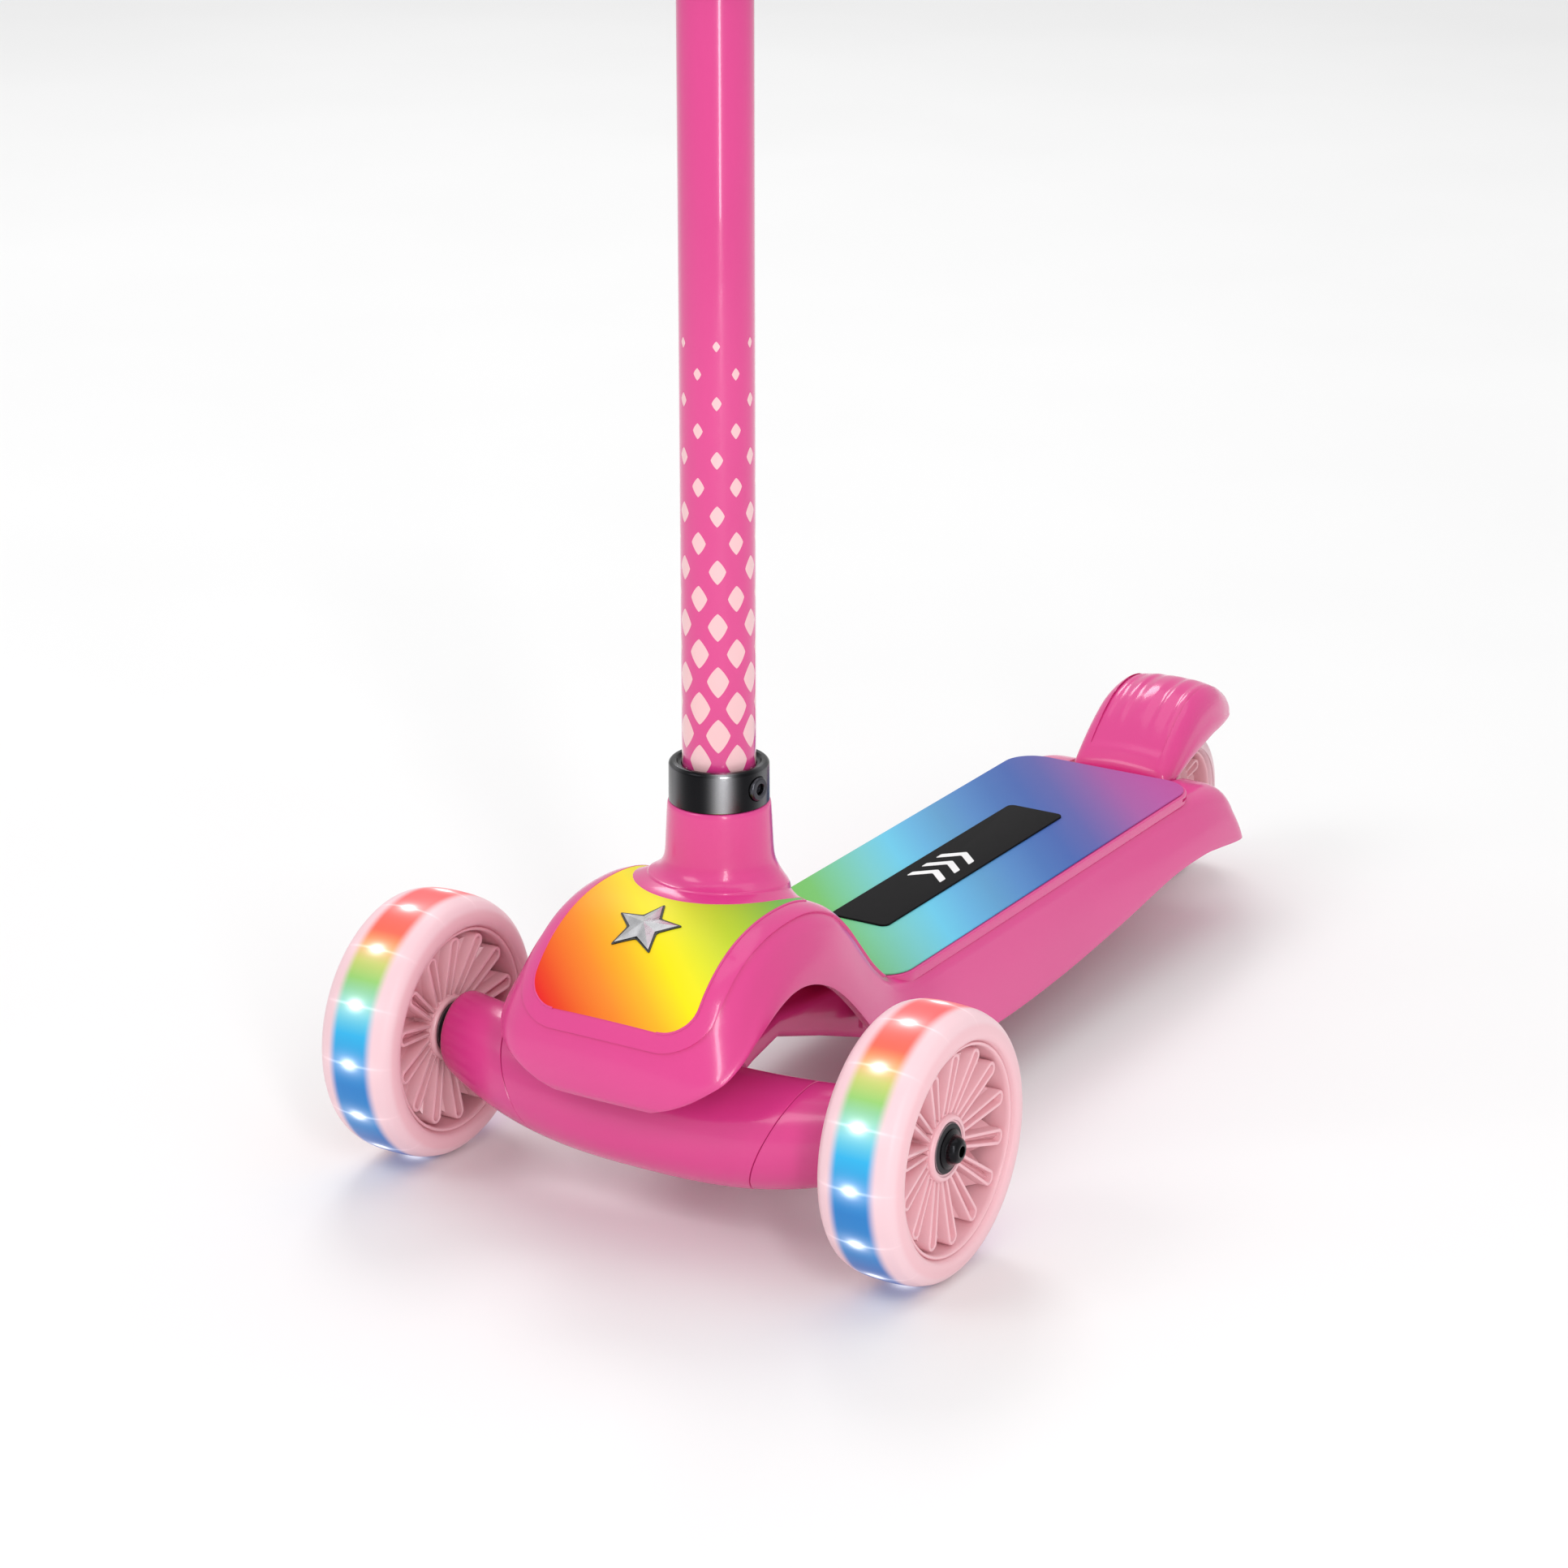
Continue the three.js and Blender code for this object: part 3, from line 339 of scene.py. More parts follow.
def add_path_tube(bm, points, radius, sides=10, loop=False):
    """A round wire along a list of points."""
    rings = []
    count = len(points)
    across = None
    for i, point in enumerate(points):
        before = points[i - 1] if (i or loop) else point
        after = points[(i + 1) % count] if (i < count - 1 or loop) else point
        along = (Vector(after) - Vector(before)).normalized()
        if across is None:
            across = along.orthogonal().normalized()
        across = (across - along * across.dot(along)).normalized()
        other = along.cross(across)
        rings.append([tuple(Vector(point) + (across * math.cos(2 * math.pi * k / sides)
                                             + other * math.sin(2 * math.pi * k / sides)) * radius)
                      for k in range(sides)])
    add_loft(bm, rings, loop=loop)


def apply_modifiers(piece):
    """Turns a piece and its modifiers into one plain mesh."""
    depsgraph = bpy.context.evaluated_depsgraph_get()
    mesh = bpy.data.meshes.new_from_object(piece.evaluated_get(depsgraph))
    old = piece.data
    piece.modifiers.clear()
    piece.data = mesh
    mesh.name = piece.name
    bpy.data.meshes.remove(old)
    return piece


def bevelled(piece, width, segments=3, angle=40.0):
    modifier = piece.modifiers.new("Bevel", "BEVEL")
    modifier.width = width * MM
    modifier.segments = segments
    modifier.limit_method = "ANGLE"
    modifier.angle_limit = math.radians(angle)
    modifier.harden_normals = False
    modifier.use_clamp_overlap = True
    apply_modifiers(piece)
    return smoothed(piece)


def cut_away(piece, *cutters):
    """Takes the cutters' shapes out of a piece, and deletes the cutters."""
    for cutter in cutters:
        modifier = piece.modifiers.new("Cut", "BOOLEAN")
        modifier.operation = "DIFFERENCE"
        modifier.solver = "EXACT"
        modifier.object = cutter
        apply_modifiers(piece)
        bpy.data.objects.remove(cutter)
    return smoothed(piece)


def ready(piece, body, slot, *nodes):
    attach(piece, body)
    if nodes:
        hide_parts(*nodes)
    return piece


# ------------------------------------------------------------------ repeats

def repeat_tree():
    """A node tree that copies a mesh along a step and round a turn, as one plain mesh."""
    name = "Repeat piece"
    if name in bpy.data.node_groups:
        return bpy.data.node_groups[name]
    tree = bpy.data.node_groups.new(name, "GeometryNodeTree")
    face = tree.interface
    for word, kind in (("Geometry", "Geometry"), ("Count", "Int"), ("Step", "Vector"),
                       ("Turn", "Vector"), ("Centre", "Vector"), ("Material", "Material")):
        face.new_socket(word, in_out="INPUT", socket_type=f"NodeSocket{kind}")
    face.new_socket("Geometry", in_out="OUTPUT", socket_type="NodeSocketGeometry")
    nodes, links = tree.nodes, tree.links
    entry = nodes.new("NodeGroupInput")
    line = nodes.new("GeometryNodeMeshLine")
    line.mode = "OFFSET"
    index = nodes.new("GeometryNodeInputIndex")
    turn = nodes.new("ShaderNodeVectorMath")
    turn.operation = "SCALE"
    copies = nodes.new("GeometryNodeInstanceOnPoints")
    real = nodes.new("GeometryNodeRealizeInstances")
    move = nodes.new("GeometryNodeTransform")
    finish = nodes.new("GeometryNodeSetMaterial")
    leave = nodes.new("NodeGroupOutput")
    for start, end in (
        (entry.outputs["Count"], line.inputs["Count"]),
        (entry.outputs["Step"], line.inputs["Offset"]),
        (line.outputs["Mesh"], copies.inputs["Points"]),
        (entry.outputs["Geometry"], copies.inputs["Instance"]),
        (entry.outputs["Turn"], turn.inputs[0]),
        (index.outputs["Index"], turn.inputs["Scale"]),
        (turn.outputs["Vector"], copies.inputs["Rotation"]),
        (copies.outputs["Instances"], real.inputs["Geometry"]),
        (real.outputs["Geometry"], move.inputs["Geometry"]),
        (entry.outputs["Centre"], move.inputs["Translation"]),
        (move.outputs["Geometry"], finish.inputs["Geometry"]),
        (entry.outputs["Material"], finish.inputs["Material"]),
        (finish.outputs["Geometry"], leave.inputs["Geometry"]),
    ):
        links.new(start, end)
    return tree


def repeated(piece, count, step=(0, 0, 0), turn=(0, 0, 0), centre=(0, 0, 0)):
    """Repeats a piece with the node tree. Lengths are in metres, turns in radians."""
    tree = repeat_tree()
    modifier = piece.modifiers.new("Repeat", "NODES")
    modifier.node_group = tree
    values = {"Count": count, "Step": step, "Turn": turn, "Centre": centre,
              "Material": piece.data.materials[0]}
    for item in tree.interface.items_tree:
        if item.in_out == "INPUT" and item.name in values:
            modifier[item.identifier] = values[item.name]
    apply_modifiers(piece)
    return smoothed(piece)


def origin_point(x, y, z):
    """A point in metres that is measured from the origin of a repeat, in millimetres."""
    return Vector((x, y, z)) * MM


# ------------------------------------------------------------------ finishes

class Value:
    """A number in a material, which can be added, multiplied and so on."""

    def __init__(self, finish, socket):
        self.finish, self.socket = finish, socket

    def __add__(self, other):
        return self.finish.maths("ADD", self, other)

    __radd__ = __add__

    def __sub__(self, other):
        return self.finish.maths("SUBTRACT", self, other)

    def __rsub__(self, other):
        return self.finish.maths("SUBTRACT", other, self)

    def __mul__(self, other):
        return self.finish.maths("MULTIPLY", self, other)

    __rmul__ = __mul__

    def __truediv__(self, other):
        return self.finish.maths("DIVIDE", self, other)

    def __rtruediv__(self, other):
        return self.finish.maths("DIVIDE", other, self)

    def __pow__(self, other):
        return self.finish.maths("POWER", self, other)

    def __neg__(self):
        return self.finish.maths("MULTIPLY", self, -1.0)

    def __abs__(self):
        return self.finish.maths("ABSOLUTE", self)


class Finish:
    """A material that is being put together."""

    def __init__(self, name, **uniform):
        self.material = bpy.data.materials.new(name)
        self.material.use_nodes = True
        self.tree = self.material.node_tree
        self.surface = self.tree.nodes["Principled BSDF"]
        for socket, value in uniform.items():
            self.surface.inputs[socket.replace("_", " ").title().replace("Ior", "IOR")] \
                .default_value = value

    def node(self, kind, settings=None, inputs=None):
        """A node of a kind, with its settings made before its sockets are filled."""
        node = self.tree.nodes.new(kind)
        for name, value in (settings or {}).items():
            if name == "stops":
                self.set_stops(node.color_ramp, value)
            else:
                setattr(node, name, value)
        for name, value in (inputs or {}).items():
            self.fill(node.inputs[name], value)
        return node

    def fill(self, socket, value):
        if isinstance(value, Value):
            value = value.socket
        if isinstance(value, bpy.types.NodeSocket):
            self.tree.links.new(value, socket)
        else:
            socket.default_value = value

    @staticmethod
    def set_stops(ramp, stops):
        while len(ramp.elements) > 1:
            ramp.elements.remove(ramp.elements[-1])
        ramp.elements[0].position, ramp.elements[0].color = stops[0]
        for position, stop_colour in stops[1:]:
            ramp.elements.new(position).color = stop_colour

    def maths(self, operation, *values, clamp=False):
        node = self.node("ShaderNodeMath", {"operation": operation, "use_clamp": clamp},
                         dict(enumerate(values)))
        return Value(self, node.outputs[0])

    def place(self, centre=(0, 0, 0)):
        """The place on the piece, from a centre in metres, as three numbers."""
        source = self.node("ShaderNodeTexCoord").outputs["Object"]
        moved = self.node("ShaderNodeMapping", inputs={
            "Vector": source, "Location": tuple(-value for value in centre)})
        split = self.node("ShaderNodeSeparateXYZ", inputs={0: moved.outputs[0]})
        return [Value(self, split.outputs[i]) for i in range(3)]

    def flat_place(self):
        """The two numbers of the piece's own UV map."""
        source = self.node("ShaderNodeUVMap").outputs[0]
        split = self.node("ShaderNodeSeparateXYZ", inputs={0: source})
        return Value(self, split.outputs[0]), Value(self, split.outputs[1])

    def noise(self, scale, detail=2.0, roughness=0.5, stretch=(1, 1, 1)):
        source = self.node("ShaderNodeTexCoord").outputs["Object"]
        moved = self.node("ShaderNodeMapping", inputs={"Vector": source, "Scale": stretch})
        node = self.node("ShaderNodeTexNoise", inputs={
            "Vector": moved.outputs[0], "Scale": scale, "Detail": detail,
            "Roughness": roughness})
        return Value(self, node.outputs[0])

    def step(self, low, high, value):
        """0 below low, 1 above high, and smooth between them."""
        node = self.node("ShaderNodeMapRange", {"interpolation_type": "SMOOTHSTEP"}, {
            "Value": value, "From Min": low, "From Max": high})
        return Value(self, node.outputs[0])

    def mix(self, factor, first, second):
        """A blend of two colours: the first at 0, the second at 1."""
        node = self.node("ShaderNodeMix", {"data_type": "RGBA"}, {
            0: factor, 6: first, 7: second})
        return node.outputs[2]

    def ramp(self, factor, stops):
        node = self.node("ShaderNodeValToRGB", {"stops": stops}, {0: factor})
        return node.outputs[0]

    def bump(self, height, distance, strength=1.0):
        node = self.node("ShaderNodeBump", inputs={
            "Height": height, "Distance": distance, "Strength": strength})
        self.fill(self.surface.inputs["Normal"], node.outputs[0])

    def paint(self, **sockets):
        for name, value in sockets.items():
            self.fill(self.surface.inputs[name.replace("_", " ").title()], value)
        return self.material


def shade_of(rgba, factor):
    """A colour made darker or lighter."""
    return tuple(min(value * factor, 1.0) for value in rgba[:3]) + (1.0,)


def moulded_plastic(name, rgba, roughness=0.24, coat=0.35):
    """Glossy injection-moulded plastic, with faint flow marks and orange peel."""
    finish = Finish(name, roughness=roughness, coat_weight=coat, coat_roughness=0.08)
    cloud = finish.noise(9.0, 3.0)
    fine = finish.noise(1400.0, 2.0)
    base = finish.mix(cloud, shade_of(rgba, 0.93), shade_of(rgba, 1.05))
    finish.bump(fine + finish.noise(160.0, 1.0) * 1.5, 0.00006, 0.5)
    return finish.paint(base_color=base, roughness=roughness - 0.05 + cloud * 0.1)


def satin_plastic(name, rgba, roughness=0.5, shine=0.5):
    """Fine-grained plastic or rubber with a spark-eroded texture."""
    finish = Finish(name, roughness=roughness, specular_ior_level=shine)
    grain = finish.noise(2600.0, 3.0, 0.6)
    cloud = finish.noise(30.0, 2.0)
    base = finish.mix(cloud, shade_of(rgba, 0.82), shade_of(rgba, 1.18))
    finish.bump(grain, 0.00015, 0.7)
    return finish.paint(base_color=base, roughness=roughness - 0.06 + grain * 0.12)


def turned_metal(name, rgba, roughness=0.3):
    """Plated steel with fine turning marks and slightly uneven plating."""
    finish = Finish(name, metallic=1.0)
    marks = finish.noise(900.0, 3.0, 0.6, stretch=(6, 1, 1))
    cloud = finish.noise(60.0, 2.0)
    base = finish.mix(cloud, shade_of(rgba, 0.85), shade_of(rgba, 1.12))
    finish.bump(marks, 0.00004, 0.5)
    return finish.paint(base_color=base, roughness=roughness - 0.05 + marks * 0.14)


def black_chrome(name, rgba):
    """Near-black plating with fine brushing."""
    finish = Finish(name, metallic=1.0, coat_weight=0.12, coat_roughness=0.08)
    brushed = finish.noise(700.0, 4.0, 0.6, stretch=(1, 1, 14))
    base = finish.mix(brushed, shade_of(rgba, 0.75), shade_of(rgba, 1.2))
    finish.bump(brushed, 0.00003, 0.4)
    return finish.paint(base_color=base, roughness=0.2 + brushed * 0.12)


def polished_ring(rgba, axis_xy):
    """Black chrome with a painted highlight in a narrow band, fainter painted reflections either
    side of it, and dull round the rest.
    """
    finish = Finish("polished_ring", metallic=1.0, coat_weight=0.1, coat_roughness=0.06)
    x, y, _ = finish.place(place(axis_xy[0], axis_xy[1], 0))
    turn = finish.maths("ARCTAN2", x, -y) * (180 / math.pi)
    brushed = finish.noise(700.0, 4.0, 0.6, stretch=(1, 1, 14))
    painted_highlight_at, painted_highlight_width = 36, 11  # degrees round the ring from straight ahead
    painted_reflections_between, painted_reflections_reach, painted_reflections_width = 31, 62, 13
    # painted highlight: a narrow bright band about 36 degrees round the ring, where the light is
    # reflected, with fainter painted reflections either side of it
    painted_highlight = finish.maths("EXPONENT", -(((turn - painted_highlight_at) / painted_highlight_width) ** 2))
    painted_reflections = finish.maths("EXPONENT", -(((abs(turn - painted_reflections_between) - painted_reflections_reach) / painted_reflections_width) ** 2))
    dark = finish.mix(brushed, shade_of(rgba, 0.6), shade_of(rgba, 0.9))
    # the painted highlight and reflections lighten the base colour towards pale grey
    base = finish.mix(painted_reflections * 0.16 + painted_highlight * 0.62, dark, colour(214, 214, 218))
    finish.bump(brushed, 0.00003, 0.4)
    return finish.paint(base_color=base, roughness=0.2 + brushed * 0.12)


# ------------------------------------------------------------------ the body's surface

# Stations from the lip of the nose, over the gooseneck and back along the deck. Each gives
# the outline's (y, z), the hem's (y, z), the half width at the outline and at the hem, the
# radius of the shoulder between them, and how far the top drops towards its sides.
STATIONS = [
    (-51.4, 69.0, -49.6, 69.6, 25, 26, 1, 0.4),
    (-53.6, 71.8, -50.2, 72.6, 33, 34.5, 3, 1.6),
    (-54.8, 76.2, -50.2, 77.0, 41, 43, 5, 3),
    (-55.2, 82.4, -48.0, 81.8, 47.6, 50.4, 8, 4.5),
    (-54.0, 91.0, -43.4, 86.6, 51.2, 56.6, 12, 6),
    (-50.8, 101.4, -36.8, 92.6, 52, 60.2, 15, 7),
    (-45.0, 112.2, -28.0, 98.8, 51.8, 61.4, 15, 7),
    (-36.0, 122.6, -17.4, 104.4, 51.4, 61.4, 14, 6),
    (-23.4, 131.6, -6.0, 108.8, 51, 61, 13, 5),
    (-8.0, 137.6, 5.4, 111.2, 50.8, 60.6, 12, 4),
    (12.0, 140.6, 17.0, 110.6, 50.8, 60.2, 11, 3.2),
    (36.0, 139.2, 29.0, 107.0, 50.8, 60, 10, 2.6),
    (56.0, 132.4, 40.0, 101.4, 50.8, 60, 10, 2.4),
    (70.6, 121.4, 50.4, 93.6, 50.8, 60, 10, 2.2),
    (84.0, 106.6, 61.4, 83.4, 50.8, 60, 10, 2),
    (96.6, 92.0, 73.0, 71.6, 50.8, 60, 9, 1.6),
    (111.0, 80.2, 86.6, 59.8, 51.2, 60, 8, 1.2),
    (129.0, 75.4, 105.4, 48.6, 51.6, 60.2, 7, 0.8),
    (155.0, 74.6, 136, 38.2, 51.8, 60.6, 6, 0.4),
    (190.0, 74.6, 184, 33, 51.8, 61, 6, 0.4),
    (250.0, 74.6, 248, 34.4, 51.8, 61, 6, 0.4),
    (310.0, 74.6, 312, 40, 51.8, 61, 6, 0.4),
    (365.0, 74.6, 368, 46.6, 51.8, 61, 6.5, 0.4),
    (400.0, 74.4, 402, 47.2, 51.8, 61, 7, 0.4),
    (419.0, 74.0, 420, 45.4, 51.8, 61, 8, 0.6),
    (434.0, 72.6, 434.6, 43.2, 51.6, 60.8, 10, 0.8),
    (444.6, 69.8, 445, 41.8, 51, 60.4, 11, 1.2),
    (450.4, 65.0, 450.6, 41.4, 49.4, 59.4, 11, 1.6),
    (452.6, 58.5, 452.8, 42.2, 46.4, 57.2, 9, 1.8),
    (453.2, 52.0, 453.2, 44.6, 42, 52, 5, 1.5),
]
STATION_STEPS = 6
DECK_TOP = 74.6
SOLID_STATION = 3  # the inner wall of the nose starts at this station
TAIL_STATION = 24  # behind this station the body is solid


def section(row, wall=0.0):
    """Half a cross-section, from the middle of the top to the hem, as 3-D points.

    With a wall, it is the same section moved inwards by the wall's thickness."""
    top_y, top_z, hem_y, hem_z, top_half, hem_half, shoulder, crown = row
    down = Vector((0, hem_y - top_y, hem_z - top_z))
    depth = down.length
    down.normalize()
    reach = min(shoulder, 0.8 * depth, 0.8 * top_half)
    flat = top_half - reach

    def drop(x):
        return min(crown, 0.7 * depth) * (x / top_half) ** 2

    points = [(flat * i / 8, drop(flat * i / 8)) for i in range(8)]
    corner = (top_half, drop(top_half))
    side = Vector((hem_half - top_half, depth - corner[1]))
    start = Vector(corner) + side * min(reach / side.length, 0.8)
    points += bend((flat, drop(flat)), corner, tuple(start), 9)
    for i in range(1, 9):
        t = i / 8
        bulge = 0.9 * math.sin(math.pi * t) * min(side.length / 30, 1)
        points.append((start.x + (hem_half - start.x) * t + bulge,
                       start.y + (depth - start.y) * t))
    if wall:
        inner = []
        for i, point in enumerate(points):
            before, after = points[max(i - 1, 0)], points[min(i + 1, len(points) - 1)]
            along = Vector(after) - Vector(before)
            along.normalize()
            inner.append((max(point[0] - wall * along.y, 0.0 if i == 0 else 0.05),
                          point[1] + wall * along.x))
        inner[0] = (0.0, points[0][1] + wall)
        inner[-1] = (points[-1][0] - wall, depth)
        points = inner
    return [Vector((x, top_y + down.y * d, top_z + down.z * d)) for x, d in points]


def mirrored_row(half):
    """The whole row, from the hem on the left to the hem on the right."""
    left = [Vector((-p.x, p.y, p.z)) for p in reversed(half[1:])]
    return left + half


class Skin:
    """The outside of the body as a surface: v runs back from the lip, u across from the middle."""

    def __init__(self):
        self.rows = smooth_rows(STATIONS, STATION_STEPS)
        self.halves = [section(row) for row in self.rows]
        self.along = [0.0]
        for first, second in zip(self.halves, self.halves[1:]):
            self.along.append(self.along[-1] + (second[0] - first[0]).length)
        self.across = []
        for half in self.halves:
            distances = [0.0]
            for first, second in zip(half, half[1:]):
                distances.append(distances[-1] + (second - first).length)
            self.across.append(distances)

    @staticmethod
    def find(values, wanted):
        """The index and share between two neighbours of a rising list."""
        low, high = 0, len(values) - 1
        while high - low > 1:
            middle = (low + high) // 2
            if values[middle] <= wanted:
                low = middle
            else:
                high = middle
        gap = values[high] - values[low]
        return low, min(max((wanted - values[low]) / gap, 0.0), 1.0) if gap else 0.0

    def on_row(self, row, u):
        i, share = self.find(self.across[row], abs(u))
        half = self.halves[row]
        point = half[i].lerp(half[min(i + 1, len(half) - 1)], share)
        return Vector((math.copysign(point.x, u), point.y, point.z))

    def point(self, v, u):
        row, share = self.find(self.along, v)
        return self.on_row(row, u).lerp(self.on_row(min(row + 1, len(self.rows) - 1), u), share)

    def normal(self, v, u):
        reach = 0.8
        across = self.point(v, u + reach) - self.point(v, u - reach)
        back = self.point(v + reach, u) - self.point(v - reach, u)
        return across.cross(back).normalized()

    def lifted(self, v, u, lift):
        return self.point(v, u) + self.normal(v, u) * lift

    def v_at(self, y, after=0.0):
        """The distance from the lip where the outline reaches y, past a given distance."""
        for i in range(1, len(self.along)):
            low, high = self.halves[i - 1][0].y, self.halves[i][0].y
            if self.along[i] > after and low <= y <= high:
                return self.along[i - 1] + (self.along[i] - self.along[i - 1]) \
                    * (y - low) / (high - low)
        raise ValueError(f"the outline never reaches y = {y}")

    def roof(self, x, y):
        """The height of the top of the body at a place in plan."""
        v = self.v_at(y, after=30.0)
        row, _ = self.find(self.along, v)
        crown = self.rows[row][7]
        return self.point(v, 0.0).z - crown * (x / self.rows[row][4]) ** 2


skin = Skin()


def patch(name, v0, v1, half_width, outer, inner, material, rows=48, columns=40):
    """A closed skin on the body between v0 and v1, from inner to outer above its surface.

    half_width(v) gives the reach of each row. The piece has a UV map in metres."""
    bm = bmesh.new()
    uv = bm.loops.layers.uv.new("UVMap")
    sheets = []
    places = {}
    for lift in (outer, inner):
        sheet = []
        for row in range(rows + 1):
            v = v0 + (v1 - v0) * 0.5 * (1 - math.cos(math.pi * row / rows))
            reach = half_width(v)
            line = []
            for column in range(columns + 1):
                u = reach * (2 * column / columns - 1)
                p = skin.lifted(v, u, lift)
                vert = bm.verts.new(place(p.x, p.y, p.z))
                places[vert] = (u * MM, v * MM)
                line.append(vert)
            sheet.append(line)
        sheets.append(sheet)
    top, below = sheets
    for sheet in sheets:
        join_grid(bm, sheet)
    for row in range(rows):
        for i in (0, columns):
            bm.faces.new((top[row][i], top[row + 1][i], below[row + 1][i], below[row][i]))
    for i in range(columns):
        for row in (0, rows):
            bm.faces.new((top[row][i], top[row][i + 1], below[row][i + 1], below[row][i]))
    for face in bm.faces:
        for loop in face.loops:
            loop[uv].uv = places[loop.vert]
    return new_piece(name, bm, material)


def rounded_reach(v0, v1, half, corner_front, corner_rear):
    """The half width of a rounded rectangle, as a function of v."""
    def reach(v):
        width = half
        for corner, depth in ((corner_front, v - v0), (corner_rear, v1 - v)):
            if depth < corner:
                inset = corner - math.sqrt(max(corner ** 2 - (corner - depth) ** 2, 0.0))
                width = min(width, half - inset)
        return width
    return reach


# ------------------------------------------------------------------ body

def join_grid(bm, grid):
    """Faces between each row of vertices and the next."""
    for near, far in zip(grid, grid[1:]):
        join_rows(bm, near, far)


def join_rows(bm, near, far):
    for i in range(len(near) - 1):
        bm.faces.new((near[i], near[i + 1], far[i + 1], far[i]))


def body_shell(material, wall):
    """The hollow moulding: nose, gooseneck and deck in one, solid at the tail."""
    outer = [mirrored_row(half) for half in skin.halves]
    first = SOLID_STATION * STATION_STEPS
    last = TAIL_STATION * STATION_STEPS
    inner = [mirrored_row(section(row, wall)) for row in skin.rows[first:last + 1]]
    bm = bmesh.new()

    def verts(rows):
        return [[bm.verts.new(place(*point)) for point in row] for row in rows]

    outside, inside = verts(outer), verts(inner)
    join_grid(bm, outside)
    join_grid(bm, inside)
    join_rows(bm, outside[0], inside[0])
    for side in (0, -1):
        bm.faces.new([row[side] for row in outside[:first + 1]] + [inside[0][side]])
        for k in range(len(inside) - 1):
            bm.faces.new((outside[first + k][side], outside[first + k + 1][side],
                          inside[k + 1][side], inside[k][side]))
    bm.faces.new([outside[last][0]] + inside[-1] + [outside[last][-1]])
    for near, far in zip(outside[last:], outside[last + 1:]):
        bm.faces.new((near[0], near[-1], far[-1], far[0]))
    bm.faces.new(outside[-1])
    return new_piece("body_shell", bm, material)


def box_piece(name, low, high, edge, material):
    bm = bmesh.new()
    add_box(bm, low, high, edge)
    return new_piece(name, bm, material)


def box_cutter(low, high, edge):
    return box_piece("cutter", low, high, edge, None)


def rod_profile(radius, start, end, edge=0.5):
    """The profile of a solid round bar with softened ends."""
    return filleted([(0, start), (radius, start), (radius, end), (0, end)], edge, 3, False)


def tube_profile(outer, inner, start, end, edge=0.4):
    return filleted([(inner, start), (outer, start), (outer, end), (inner, end)], edge, 3)


def hexagon(radius, turn, edge):
    """The outline of a nut, with softened corners."""
    angles = [turn + math.pi / 3 * k for k in range(6)]
    return filleted([(radius * math.cos(a), radius * math.sin(a)) for a in angles], edge, 2)


class ScooterOperator(bpy.types.Operator):
    """Shared by the builders of the scooter's pieces."""
    bl_options = {"REGISTER", "UNDO"}

    def sizes(self, context):
        return context.scene.scooter_sizes

    def colours(self, context):
        return context.scene.scooter_colours

    def execute(self, context):
        self.build(context)
        return {"FINISHED"}


def shared_finish(context, make, name, colour_name, *options):
    """A finish that several pieces share, made once."""
    rgba = tuple(getattr(context.scene.scooter_colours, colour_name))
    return bpy.data.materials.get(name) or make(name, rgba, *options)


def pink_plastic(context):
    return shared_finish(context, moulded_plastic, "pink_plastic", "pink")


def core_plastic(context):
    return shared_finish(context, moulded_plastic, "core_plastic", "core_pink", 0.32, 0.2)


def gloss_paint(context):
    return shared_finish(context, moulded_plastic, "gloss_paint", "pink", 0.2, 0.6)


def black_plastic(context):
    return shared_finish(context, satin_plastic, "black_plastic", "black", 0.42)


def steel(context):
    return shared_finish(context, turned_metal, "plated_steel", "steel")


def graphite(context):
    return shared_finish(context, black_chrome, "black_chrome", "graphite")


def steering_axis():
    """A point on the kingpin's axis, and the direction of the axis."""
    joint = next(j for j in frame["joints"] if j["name"] == "lean_steer")
    return Vector(joint["pos_m"]) / MM - Vector((0, AXLE_Y, 0)), Vector(joint["axis"])


